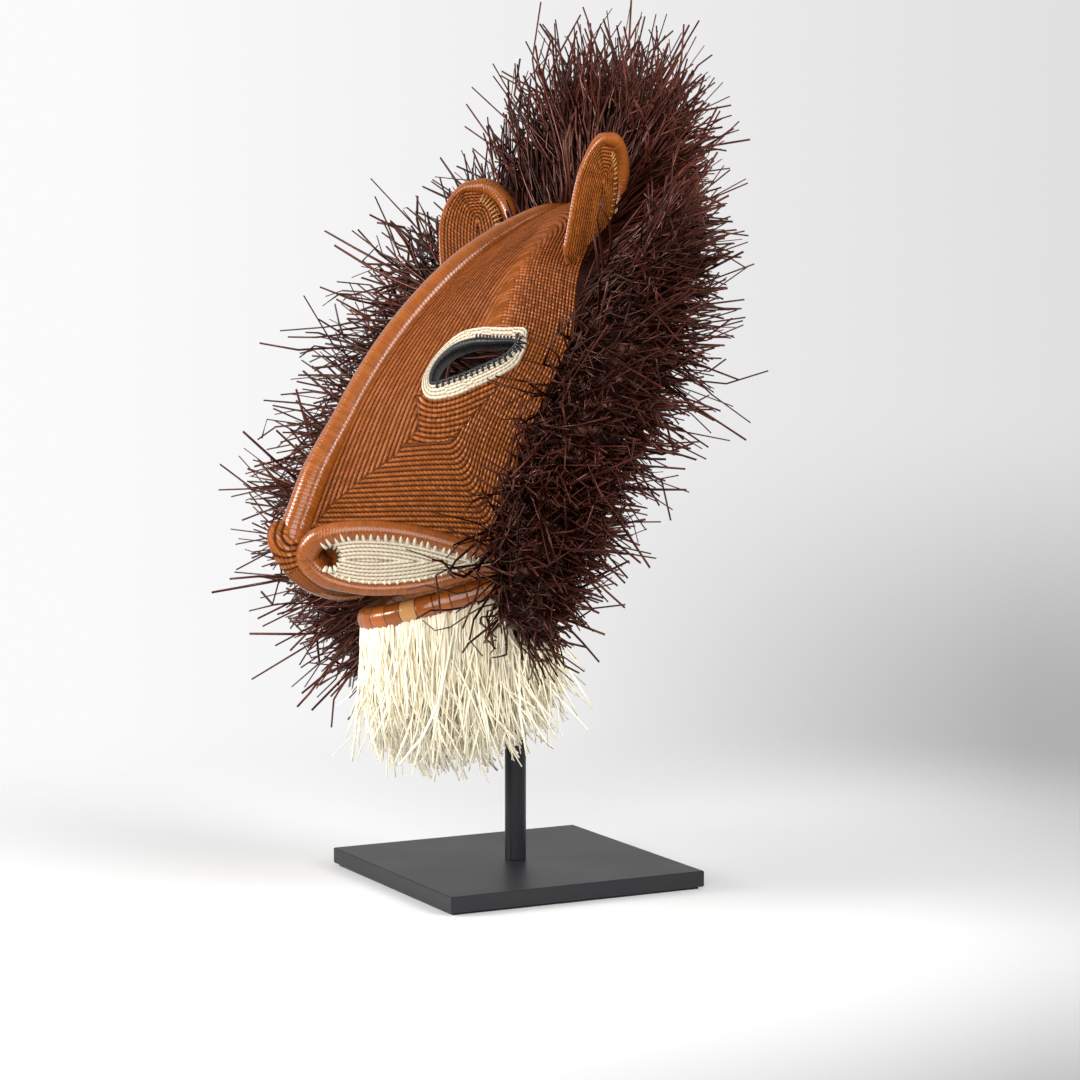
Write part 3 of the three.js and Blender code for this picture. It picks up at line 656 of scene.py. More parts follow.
def coil_rows(points, share, t, across, width):
    """The sewn rows of the cheek. Left of the diagonal seam and above the eye they run beside the ridge, arch over
    the crown and come down along the rim: the row number is the rounded smaller of the distances to ridge and rim.
    Below the seam it is the rounded smaller of the distance above the muzzle border and that from the rim, and
    under the eye the distance from its border. Returns the row number, the place along the row in stitches, the place
    in the eye's plane, the distance from the seam, and how fine the rows are."""
    s = sizes()
    from_ridge = across / (mm(s.ridge_pitch) * (1 + ROWS_WIDEN * smoothstep(0.5 - t, 0.0, 0.35)))
    from_rim = (width - across) / mm(s.rim_pitch)
    down = ridge_and_rim()[0][2]
    level_row = ((1 - t) * down - LEVEL_ROW_RISE * share) / mm(s.cheek_pitch)
    upper = soft_min(from_ridge, from_rim, ROW_BLEND + CROWN_BLEND * (1 - smoothstep(t, 0.15, 0.45)))
    lower = soft_min(level_row, from_rim + RIM_ROW_OFFSET, ROW_BLEND)
    place, level, rise, _ = eye_frame()
    offset = points - place
    uv = np.stack([offset @ level, offset @ rise], -1)
    below_eye = nearest(uv, closed_outline(EYE_BORDER_OUTLINE, 0.0, 160)) / mm(s.cheek_pitch) + 0.5
    seam = np.interp(t, SEAM_DOWN, SEAM_ACROSS)
    is_lower = ((t > SEAM_DOWN[0]) & (share > seam)) | ((t > OUTER_SEAM[0]) & (share > OUTER_SEAM[1]))
    row = np.where(is_lower, lower, upper)
    limit = UNDER_EYE_ROW - UNDER_EYE_LEAN * np.maximum(SEAM_DOWN[1] - t, 0)
    under = is_lower & (lower > limit) & (uv[..., 1] < 0) & (t > UNDER_EYE_FROM)
    row = np.where(under, below_eye, row)
    run = t * down
    steep = np.hypot(np.gradient(row, axis=1) / np.gradient(across, axis=1),
                     np.gradient(row, axis=0) / np.gradient(run, axis=0))
    row = np.floor(row) + 0.5 + (row % 1.0 - 0.5) * np.clip(GROOVE_KEPT * steep, 0, 1)
    along = np.where(is_lower, across + STITCH_SLOPE * (down - run), run + STITCH_SLOPE * across)
    along = np.where(under, uv[..., 0], along)
    middle = 1 - np.abs(from_ridge - from_rim) / np.maximum(from_ridge + from_rim, 1e-6)
    fine = np.where(is_lower, 0.0, 0.9 * smoothstep(middle, 0.7, 0.95) * smoothstep(t, 0.14, 0.3))
    return row, along / mm(s.stitch), uv, np.abs(share - seam) * width * (t > SEAM_DOWN[0]), fine


def face_half(columns=144, rows=384, back_columns=11):
    """The left half of the face wall as a ring of points carried down the face: the outer cheek displaced along its
    normal by the round cords of the rows, then the plain inner wall, whose tone gives it painted shade. The eye is left
    open."""
    s = sizes()
    down = np.linspace(CROWN_START, 1, rows + 1)
    q, t = np.meshgrid(np.linspace(UNDER_ROLL, 1, columns + 1), down)
    outer = cheek(q, t)
    step = np.linalg.norm(np.diff(outer, axis=1), axis=-1)
    run = np.concatenate([np.zeros((rows + 1, 1)), np.cumsum(step, axis=1)], 1)
    start = np.stack([np.interp(0.0, q[0], r) for r in run])[:, None]
    row, along, uv, from_seam, fine = coil_rows(outer, q, t, run - start, run[:, -1:] - start)
    normal = unit(np.cross(np.gradient(outer, axis=0), np.gradient(outer, axis=1)))
    bead = np.abs(np.sin(np.pi * (along + STITCH_STEP * np.floor(row))))
    cord = cord_profile(row) * (1 - FINE_FLAT * fine) + FINE_FLAT * fine
    relief = mm(s.row_relief) * (cord * (0.7 + 0.3 * bead) - 0.6)
    relief = np.where((from_seam > 0) & (from_seam < SEAM_GROOVE), -mm(s.row_relief) * 0.7, relief)
    outer = outer + normal * relief[..., None]

    q_in, t_in = np.meshgrid(np.linspace(1, 0, back_columns), down)
    inner = cheek_inside(q_in, t_in)
    place, level, rise, _ = eye_frame()
    uv_in = np.stack([(inner - place) @ level, (inner - place) @ rise], -1)
    ring = np.concatenate([outer, inner], 1)
    count = ring.shape[1]
    hole = in_outline(np.concatenate([uv, uv_in], 1), closed_outline(EYE_OUTLINE, EYE_HOLE_MARGIN, 120)).ravel()
    quads, *ends = capped_grid(rows + 1, count)
    quads = quads[~hole[quads].any(1)]
    return used_points(ring.reshape(-1, 3), [quads, *ends],
                       row=np.concatenate([row, q_in * run[:, -1:] / mm(s.ridge_pitch)], 1),
                       along=np.concatenate([along, t_in * INSIDE_LENGTH / mm(s.stitch)], 1),
                       tone=np.concatenate([t, np.full_like(t_in, INSIDE_SHADE_TONE)], 1),
                       fine=np.concatenate([fine, np.zeros_like(t_in)], 1))


def ridge_roll(steps=380, end_steps=24, sides=18):
    """The wrapped roll down the middle of the face: a tube along the ridge whose radius swells over each turn. Low
    down it comes forward and thickens, and it runs on over the nose to a rounded end."""
    t = np.linspace(0.0, 1.0, steps)
    _, radius, middle, *_ = section(t)
    lower = smoothstep(t, *RIDGE_LOWER)
    middle = middle + lower[:, None] * np.array(RIDGE_LOWER_FORWARD)
    radius = radius + RIDGE_LOWER_MORE * lower
    into = np.linspace(0, 1, end_steps)[1:, None]
    middle = np.concatenate([middle, middle[-1] + into * np.array(RIDGE_RUN_ON)])
    radius = np.concatenate([radius, radius[-1] * np.sqrt(1 - 0.97 * into[:, 0] ** 3)])
    t = np.concatenate([t, 1 + RIDGE_RUN_SHARE * into[:, 0]])
    turn = t * ridge_and_rim()[0][2] / (mm(sizes().roll_wrap) * RIDGE_WRAP)
    return wrapped_roll(middle, np.gradient(middle, axis=0), radius, turn, RIDGE_LIFT * cord_profile(turn), t, sides)


def nose_pad(columns=110, rows=76):
    """An oval body whose long axis leans, slimmer at its upper end. Rows within a reach of the ridge's end are nested
    round it; beyond them fine wrapped lines run along the body from end to end."""
    s = sizes()
    angle, level = np.meshgrid(np.linspace(0, 2 * np.pi, columns, endpoint=False), np.linspace(0.01, 0.99, rows))
    polar = np.pi * level
    lean = math.radians(NOSE_LEAN)
    turn = np.array([[1, 0, 0], [0, math.cos(lean), -math.sin(lean)], [0, math.sin(lean), math.cos(lean)]])
    body = np.stack([np.sin(polar) * np.cos(angle), np.sin(polar) * np.sin(angle), np.cos(polar)], -1)
    body[..., 0] = body[..., 0] * (1 - NOSE_SLIM * smoothstep(np.cos(polar), *NOSE_SLIM_FROM))
    around = body * np.array(NOSE_HALF_SIZE) @ turn.T + np.array(NOSE_PLACE)
    away = np.linalg.norm(around - np.array(NOSE_ROWS_FROM), axis=-1)
    nested = away < NOSE_TURN_REACH
    row = np.where(nested, away / (mm(s.ridge_pitch) * NOSE_ROW_SHARE), angle / (2 * np.pi) * NOSE_LINES)
    fine = np.where(nested, 0.0, NOSE_FINE)
    out = unit(body / np.array(NOSE_HALF_SIZE)) @ turn.T
    points = around + out * (NOSE_RELIEF * cord_profile(row) * (1 - fine) + NOSE_RELIEF * fine)[..., None]
    return points, capped_grid(rows, columns, flip=True), {"row": row, "along": angle * 12 / mm(s.stitch),
                                                           "tone": np.ones_like(row), "fine": fine}


def eye_border(count=240, front=24, back=4):
    """The cream coil round the eye: a ring between the hole's outline and a wider one, laid on the cheek, with
    round rows that keep their distance from the hole, and a plain back inside the wall."""
    lift_on = eye_surface()
    inner, outer = closed_outline(EYE_OUTLINE, -0.8, count), closed_outline(EYE_BORDER_OUTLINE, 0.0, count)
    m = np.linspace(0, 1, front)[None, :]
    uv = inner[:, None] + (outer - inner)[:, None] * m[..., None]
    wide = np.linalg.norm(outer - inner, axis=1)[:, None]
    rows = np.maximum(np.round(wide / EYE_COIL_PITCH), 1)
    row = m * rows * 0.9999
    edge = EYE_COIL_EDGE * np.sqrt(np.clip(1 - (2 * m - 1) ** 8, 0, 1))
    top = lift_on(uv, edge + EYE_COIL_RELIEF * cord_profile(row) - 0.5)
    m_back = np.linspace(1, 0, back)[None, :]
    uv_back = inner[:, None] + (outer - inner)[:, None] * (0.04 + 0.92 * m_back)[..., None]
    bottom = lift_on(uv_back, np.full((count, back), -WALL - 0.4))
    row = np.concatenate([row, m_back * rows], 1)
    turn = np.linspace(0, EYE_COIL_STITCHES, count)[:, None] * np.ones_like(row)
    faces = [grid_quads(count, front + back, around=True, along=True)]
    return np.concatenate([top, bottom], 1), faces, {"row": row, "along": turn}


def eye_rim(count=230, sides=14):
    """The black wrapped rim that lines the hole: a flattened roll carried along the outline, deep in the wall's
    direction and narrow across, with a small swell over each turn of fibre."""
    lift_on = eye_surface()
    turn = np.linspace(0, EYE_RIM_TURNS, count, endpoint=False)
    angle = np.linspace(0, 2 * np.pi, sides, endpoint=False)[None, :]
    swell = 1 + 0.05 * cord_profile(turn)[:, None]
    share = np.arange(count)[:, None] / count
    radius = EYE_RIM_RADIUS + EYE_RIM_MORE_ABOVE * np.sin(np.pi * np.clip(share / 0.5, 0, 1)) ** 2
    edge = closed_outline(EYE_OUTLINE, 0.0, count)
    middle = closed_outline(EYE_OUTLINE, -radius + 0.6, count)
    out = unit(edge - middle)
    uv = middle[:, None] + out[:, None] * (radius * swell * np.cos(angle))[..., None]
    points = lift_on(uv, EYE_RIM_DEPTH * swell * np.sin(angle) - EYE_RIM_DEPTH + 2.0)
    row = np.repeat(turn[:, None], sides, 1)
    return points, [grid_quads(count, sides, around=True, along=True)], {"row": row, "along": np.zeros_like(row)}


def spikes(feet, middles, tips, radius):
    """Small pointed stitches: four-sided tapered tubes on a quadratic curve from foot to tip that is drawn towards
    the middle point. Each is one plain row and stitch."""
    count, rings, sides = len(feet), len(SPIKE_TAPER), 4
    run = np.linspace(0, 1, rings)[None, :, None]
    line = (1 - run) ** 2 * feet[:, None] + 2 * run * (1 - run) * middles[:, None] + run ** 2 * tips[:, None]
    along = unit(np.gradient(line, axis=1))
    aside = unit(np.cross(along, np.array([0.21, 0.35, 0.9])))
    over = np.cross(along, aside)
    angle = np.linspace(0, 2 * np.pi, sides, endpoint=False)[:, None] + 0.4
    wide = (np.broadcast_to(radius, (count,))[:, None] * np.array(SPIKE_TAPER))[..., None, None]
    points = line[:, :, None] + wide * (np.cos(angle) * aside[:, :, None] + np.sin(angle) * over[:, :, None])
    first = (np.arange(count) * rings * sides)[:, None, None]
    quads = (grid_quads(rings, sides, around=True)[None] + first).reshape(-1, sides)
    ends = np.arange(sides)[None, :]
    caps = [first[:, 0] + ends, first[:, 0] + rings * sides - 1 - ends]
    still = np.full(points.shape[:3], 0.5)
    return points, [quads, *caps], {"row": still, "along": still}


def eye_stitches(samples=1200):
    """Black stitches over the cream border: broad ones along the lower side, longer ones round the outer corner and
    fine ones at the outer end of the upper lid."""
    lift_on = eye_surface()
    share = np.concatenate([np.linspace(first, last, count) for first, last, count, _, _ in EYE_STITCHES])
    reach = np.concatenate([np.full(count, far) for _, _, count, far, _ in EYE_STITCHES])[:, None]
    wide = np.concatenate([np.full(count, radius) for _, _, count, _, radius in EYE_STITCHES])
    index = (share * samples).astype(int) % samples
    inner = closed_outline(EYE_OUTLINE, -1.6, samples)[index]
    outer = closed_outline(EYE_OUTLINE, 1.0, samples)[index]
    outer = outer + (outer - inner) / 2.6 * (reach - 1.0)

    def at(m, lift):
        return lift_on(inner + (outer - inner) * m, np.full(len(index), lift))
    return spikes(at(0.0, 0.9), at(0.6, 2.6), at(1.0, 0.7), wide)


def border_radius(share):
    """Radius of the muzzle's wrapped border: thinner below, thickest round the nostril."""
    thin = smoothstep(share, *BORDER_THINS) - smoothstep(share, *BORDER_THICKENS)
    plain = BORDER_RADIUS_ABOVE + (BORDER_RADIUS_BELOW - BORDER_RADIUS_ABOVE) * thin
    nose = smoothstep(1 - np.abs(share - BORDER_NOSE_MIDDLE) / BORDER_NOSE_SPAN, 0, 1)
    return plain + (BORDER_RADIUS_AT_NOSE - plain) * nose


def muzzle_border(sides=15):
    """The wrapped loop of one side of the muzzle: a closed tube with a small swell over each turn of fibre."""
    loop = smooth_path(MUZZLE_LOOP, True)
    turns = round(loop[2] / mm(sizes().roll_wrap))
    share = np.arange(turns * 3) / (turns * 3)
    turn = share * turns
    return wrapped_roll(on_path(loop, share), heading(loop, share, True), border_radius(share), turn,
                        BORDER_LIFT * cord_profile(turn), 0.9, sides, closed=True)


def muzzle_frame():
    """The muzzle's loop, its way out, the nostril's middle, and the ways level and up across the nostril."""
    loop = smooth_path(MUZZLE_LOOP, True)
    out = unit(np.array(MUZZLE_OUT, float))
    level = unit(np.cross(out, np.array([0, 0, 1.0])))
    return loop, out, on_path(loop, np.array(0.5)) + np.array(NOSTRIL_OFFSET), level, np.cross(level, out)


def muzzle_panel(columns=130, rows=42, back=4):
    """The cream panel: a sheet between the loop's lower and upper halves, crowned outwards, whose rows keep their
    distance from the border. The nostril is left open at its front."""
    loop, out, centre, _, _ = muzzle_frame()

    def between(share, across):
        low, high = on_path(loop, 1 - share), on_path(loop, share)
        return low + (high - low) * across[..., None]
    share, across = np.meshgrid(np.linspace(*PANEL_STRETCH, columns), np.linspace(0, 1, rows), indexing="ij")
    sheet = between(share, across) + out * (PANEL_LIFT + PANEL_CROWN * np.sin(np.pi * across))[..., None]
    from_edge = np.maximum(nearest(sheet, on_path(loop, np.linspace(0, 1, 200))) - BORDER_RADIUS_BELOW, 0)
    row = from_edge / mm(sizes().cream_pitch) + 0.05
    sheet = sheet + out * (PANEL_RELIEF * cord_profile(row))[..., None]
    share_back, across_back = np.meshgrid(share[:, 0], np.linspace(1, 0, back), indexing="ij")
    ring = np.concatenate([sheet, between(share_back, across_back) - out * PANEL_BACK], 1)
    offset = ring - centre
    away = np.linalg.norm(offset - (offset @ out)[..., None] * out, axis=-1)
    forward = offset @ unit(np.array([0.3, -0.9, -0.3]))
    hole = ((away < NOSTRIL_RADIUS + 0.2) | (forward > 4.5)).ravel()
    quads, end, _ = capped_grid(columns, rows + back, flip=True)
    quads = quads[~hole[quads].any(1)]
    return used_points(ring.reshape(-1, 3), [quads, end], row=np.concatenate([row, across_back * 8], 1),
                       along=np.concatenate([share, share_back], 1) * loop[2] / PANEL_STITCH)


def nostril(columns=48, rows=26):
    """The nostril's wrapped funnel: a round wall that narrows as it goes in and is closed at its end."""
    _, out, centre, level, up = muzzle_frame()
    depth, angle = np.meshgrid(np.linspace(0, 1, rows), np.linspace(0, 2 * np.pi, columns, endpoint=False),
                               indexing="ij")
    turn = depth * NOSTRIL_TURNS
    radius = NOSTRIL_RADIUS + 1.2 - 2.2 * depth - 5.2 * smoothstep(depth, 0.8, 1) + 0.25 * cord_profile(turn)
    points = (centre + out * (2.5 - NOSTRIL_DEPTH * depth)[..., None]
              + radius[..., None] * (np.cos(angle)[..., None] * level + np.sin(angle)[..., None] * up))
    quads, _, end = capped_grid(rows, columns, flip=True)
    return points, [quads, end], {"row": turn, "along": angle, "tone": np.ones_like(turn)}


def panel_stitches(count=48):
    """Cream stitches that reach from the panel over the wrapped border, and a few round the nostril."""
    loop, out, middle, level, up = muzzle_frame()
    generator = np.random.default_rng(sizes().seed)
    half = np.linspace(0.05, 0.44, count // 2)
    share = np.concatenate([half, 1 - half]) + generator.uniform(-0.002, 0.002, 2 * len(half))
    centre, way = on_path(loop, share), heading(loop, share, True)
    inside = on_path(loop, 1 - share) - centre
    inside = unit(inside - (inside * way).sum(-1, keepdims=True) * way)
    outside = unit(out - (out * way).sum(-1, keepdims=True) * way)
    reach = np.where(share < 0.5, *STITCH_REACH) * generator.uniform(0.85, 1.1, len(share))
    radius = border_radius(share) * 1.08

    def on_roll(degrees, lift):
        angle = np.radians(degrees)[:, None]
        return centre + (radius + lift)[:, None] * (np.cos(angle) * inside + np.sin(angle) * outside)
    lean = way * generator.uniform(-0.5, 0.5, (len(share), 1))
    round_it = math.pi + np.linspace(-1.7, 1.7, 9)[:, None]
    spoke = np.cos(round_it) * level + np.sin(round_it) * up

    def at(further, lift):
        return middle + (NOSTRIL_RADIUS + further) * spoke + lift * out
    feet = np.concatenate([on_roll(np.full(len(share), 14.0), 0.3), at(2.2, 4.0)])
    bows = np.concatenate([on_roll(reach * 0.6, 0.75) + 0.5 * lean, at(0.4, 4.6)])
    tips = np.concatenate([on_roll(reach, 0.3) + lean, at(-1.6, 2.4)])
    return spikes(feet, bows, tips, 1.3)


def ear_frame():
    """The left ear's foot, its ways up, to its front face and across, and its height."""
    base, tip = np.array(EAR_BASE, float), np.array(EAR_TIP, float)
    up = unit(tip - base)
    turn = math.radians(EAR_INWARD_TURN)
    facing = np.array([-math.sin(turn), -math.cos(turn), 0])
    facing = unit(facing - facing @ up * up)
    return base, up, facing, unit(np.cross(up, facing)), np.linalg.norm(tip - base)


def ear_half_width(climb):
    """Half the leaf's width: full up to the shoulder, then rounding off to a blunt tip."""
    rounding = np.maximum(0, (climb - EAR_SHOULDER) / EAR_ROUND_LENGTH) ** EAR_ROUNDNESS
    foot = 1 - 0.5 * smoothstep(-climb, 0.0, -EAR_FOOT)
    return EAR_WIDTH / 2 * np.sqrt(np.clip(1 - rounding, 0, 1)) * foot


def ear_leaf(columns=44, rows=66):
    """The ear: a cupped leaf with a front and a back, whose rows keep their distance from its outline."""
    base, up, facing, side, tall = ear_frame()
    climb, a = np.meshgrid(np.linspace(EAR_FOOT, 0.985, rows), np.linspace(-1, 1, columns), indexing="ij")
    half = ear_half_width(climb)
    from_side, from_tip = (1 - np.abs(a)) * half, (1 - climb) * tall
    row = np.maximum(soft_min(from_side, from_tip, 3.0), 0) / EAR_ROW
    along = np.where(from_side < from_tip, climb * tall, a * half) / EAR_STITCH
    cup = EAR_CUP * half / EAR_WIDTH * 2 * (a * a - 1)
    front, rear = (base + up * (climb * tall)[..., None] + side * (a * half)[..., None]
                   + facing * (cup + face * (EAR_THICK / 2 + 0.5 * cord_profile(row) - 0.4))[..., None]
                   for face in (1, -1))
    row, along = (np.concatenate([values, values[:, ::-1]], 1) for values in (row, along))
    return (np.concatenate([front, rear[:, ::-1]], 1), capped_grid(rows, 2 * columns),
            {"row": row, "along": along, "tone": np.ones_like(row)})


def ear_edge():
    """The line round the leaf's edge: up its back, over the tip and down its front."""
    base, up, _, side, tall = ear_frame()
    bend = np.linspace(-1, 1, 400)
    climb = EAR_FOOT + np.clip(1 - np.abs(bend) ** 2.2, 0, 1) * (0.99 - EAR_FOOT)
    wide = np.sign(bend) * ear_half_width(climb)
    line = base + up * (climb * tall)[:, None] + side * wide[:, None]
    return smooth_path(line[::10], dense=12)


def ear_stitches(count=20):
    """Bright stitches from the leaf over the foot of its thick edge, on both faces."""
    _, up, facing, side, _ = ear_frame()
    path = ear_edge()
    share = np.linspace(0.1, 0.48, count)
    edge = on_path(path, share)
    inside = unit(np.cross(heading(path, share), facing))
    inside = inside * np.sign(inside @ side)[:, None]
    places = (np.concatenate([edge + inside * within + facing * face * proud + up * rise for face in (1, -1)])
              for within, proud, rise in EAR_STITCH_PLACES)
    return spikes(*places, EAR_STITCH_RADIUS)


def ear_roll(steps=250, sides=13):
    """The ear's wrapped edge: a tube up the back of the leaf, over its tip and, thinner, down its front."""
    path = ear_edge()
    share = np.linspace(0, 1, steps)
    turn = share * path[2] / mm(sizes().roll_wrap) / EAR_WRAP
    thick, thin = EAR_ROLL_RADIUS
    radius = thick - (thick - thin) * smoothstep(share, *EAR_ROLL_THINS)
    return wrapped_roll(on_path(path, share), heading(path, share), radius, turn, EAR_LIFT * cord_profile(turn), 0.2,
                        sides)


def lower_lip(steps=260, sides=20):
    """The lower lip: a roll along the jaw's bow with wide flat turns of fibre that meet in narrow grooves."""
    path = smooth_path(LIP_LINE)
    share = np.linspace(0, 1, steps)
    turn = share * path[2] / mm(sizes().lip_wrap)
    x = np.abs(2 * (turn % 1.0) - 1)
    return wrapped_roll(on_path(path, share), heading(path, share), LIP_RADIUS, turn,
                        -LIP_GROOVE * x ** 10 + LIP_STEP * (turn % 1.0), 1.0, sides, around=0.0)


def way_down():
    """The way down in the mask's leaning frame."""
    return turn_matrix().T @ np.array([0, 0, -1.0])


def backward():
    """The way to the back in the mask's leaning frame."""
    return turn_matrix().T @ np.array([0, 1.0, 0])


def beard_core(columns=70, rows=24):
    """The beard's dense middle: a curtain that hangs from the lip, shorter and thinner than the strands over it."""
    path, down = smooth_path(LIP_LINE), way_down()
    drop, share = np.meshgrid(np.linspace(0, 1, rows), np.linspace(*BEARD_CORE_STRETCH, columns), indexing="ij")
    inward = unit(np.cross(heading(path, share), down))
    fall = 5 + drop * (BEARD_CORE_SHARE * spread(BEARD_LENGTHS, np.abs(2 * share - 1)))
    furrow = 0.8 * np.sin(share * 260 + 3 * drop) * drop
    flank = smoothstep(np.abs(2 * share - 1), *BEARD_FLANK)
    middle = on_path(path, share) + down * fall[..., None]
    middle = middle + backward() * ((0.04 + 0.1 * flank) * fall * drop)[..., None] + inward * (4 * drop)[..., None]
    front = middle + inward * (9 * drop ** 2 - 1.5 * (1 - drop) + furrow)[..., None]
    rear = middle + inward * (9 * drop ** 2 + 7.5)[..., None]
    shade = np.concatenate([0.8 + 0.2 * np.sin(share * 400) * drop, np.full(share.shape, 0.6)], 1)
    return np.concatenate([front, rear[:, ::-1]], 1), capped_grid(rows, 2 * columns, flip=True), {"shade": shade}


def beard_strands(generator):
    """Loose strands of the beard: each leaves the lip's underside, falls with gravity and draws in below, more
    loosely the further out it lies."""
    s = sizes()
    count = s.beard_strands
    path, down = smooth_path(LIP_LINE), way_down()
    share = generator.uniform(*BEARD_STRETCH, count)
    way = heading(path, share)
    inward = unit(np.cross(way, down))
    depth = 13.6 * generator.uniform(0, 1, count) ** 1.4 - 4.6
    root = on_path(path, share) + down * (LIP_RADIUS - 2.2 - 0.12 * depth ** 2 * (depth < 0))[:, None]
    root = root + inward * depth[:, None]
    length = spread(BEARD_LENGTHS, np.abs(2 * share - 1)) * generator.uniform(*BEARD_UNEVEN, count)
    loose = generator.uniform(0, 1, count) ** 2
    start = unit(down + inward * (0.05 + 0.006 * depth + generator.normal(0, 0.04, count) * (1 + loose))[:, None]
                 + way * (generator.normal(0, 0.05, count) * (1 + 1.6 * loose))[:, None])
    clump = np.sin(np.floor(share * BEARD_CLUMPS) * 12.9)
    flank = smoothstep(np.abs(2 * share - 1), *BEARD_FLANK)
    bend = (inward * (0.16 + generator.normal(0, 0.1, count) * (0.6 + loose))[:, None]
            + way * (generator.normal(0, 0.11, count) * (0.6 + loose))[:, None]
            + backward() * (0.04 + 0.1 * flank + 0.06 * clump + generator.normal(0, 0.09, count))[:, None])
    radius = mm(s.beard_radius) * generator.uniform(0.75, 1.3, count)
    points, faces = strands(root, start, length, bend, radius, BEARD_SEGMENTS, generator, BEARD_TAPER, BEARD_SWAY)
    rings = BEARD_SEGMENTS + 1
    tint = generator.uniform(0, 1, count)[:, None] * np.ones((1, rings))
    shade = 0.4 + 0.6 * tint + 0.12 * np.linspace(-1, 1, rings)[None, :]
    return points, faces, {"shade": np.repeat(shade[..., None], 3, 2)}


def mane_root():
    """The mane's root line: round the rim from jaw to jaw over the crown."""
    half = np.array(RIM_LINE[1:] + MANE_TAIL, float)
    return smooth_path(np.vstack([half[::-1] * np.array([-1, 1, 1]), np.array(RIM_LINE[:1], float), half]))


def mane_reach(angle):
    """Share of the full length at an angle of the fan: full to the side and forward, shorter to the back."""
    back = np.clip((angle - MANE_FULL_TO) / (MANE_SHORT_FROM - MANE_FULL_TO), 0, 1)
    return 1 + (MANE_BACK_SHARE - 1) * back


def ear_clearing(share):
    """How far a place on the root line lies behind the left ear, where the hair is combed back: 1 at its middle."""
    return np.exp(-((np.abs(2 * share - 1) - MANE_EAR_AT) / MANE_EAR_SPAN) ** 2) * (share > 0.5)


def rim_binding(steps=300, sides=10):
    """The bound edge that holds the mane: a tube along the root line, thicker over the crown."""
    path = mane_root()
    share = np.linspace(0.0, 1.0, steps)
    radius = BINDING_RADIUS + BINDING_MORE * np.exp(-((2 * share - 1) / 0.07) ** 2) + 0.25 * np.sin(share * 900)
    points, faces = tube(on_path(path, share) + np.array(BINDING_BACK), heading(path, share), radius, sides)
    return points, faces, {"shade": np.full((steps, sides), 0.12)}


def mane_core(steps=180, fan_columns=10):
    """The mane's dense middle: a fan-shaped section, shorter than the strands, carried round the rim, in the darkest
    mane colour as painted shade between the strands.
    """
    path = mane_root()
    share = np.linspace(0, 1, steps)
    outward = outward_of(heading(path, share))
    root = on_path(path, share) + outward * 0.8
    side = np.abs(2 * share - 1)
    reach = MANE_CORE_SHARE * spread(MANE_LENGTHS, side) + 3 * np.sin(share * 300)
    turn = np.linspace(0, 1, fan_columns)[None, :]
    rear = MANE_BACKWARD - 5 + 32 * smoothstep(side, 0.3, 0.5)
    behind_ear = ear_clearing(share)
    forward = spread(MANE_FORWARD, side) - 12 - 36 * behind_ear
    angle = rear[:, None] + (-forward - rear)[:, None] * turn
    reach = (reach * (1 - 0.5 * behind_ear))[:, None] * mane_reach(angle)
    angle = np.radians(angle)[..., None]
    fan = root[:, None] + reach[..., None] * (np.cos(angle) * outward[:, None] + np.sin(angle) * np.array(TO_BACK))
    foot = np.stack([root + np.array([0, -0.5, 0]), root + np.array([0, 4.5, 0])], 1)
    ring = np.concatenate([foot, fan], 1)
    # Painted shade: the core takes the darkest mane colour, a dark sheet among the strands
    return ring, capped_grid(steps, fan_columns + 2), {"shade": np.full(ring.shape[:2], 0.04)}


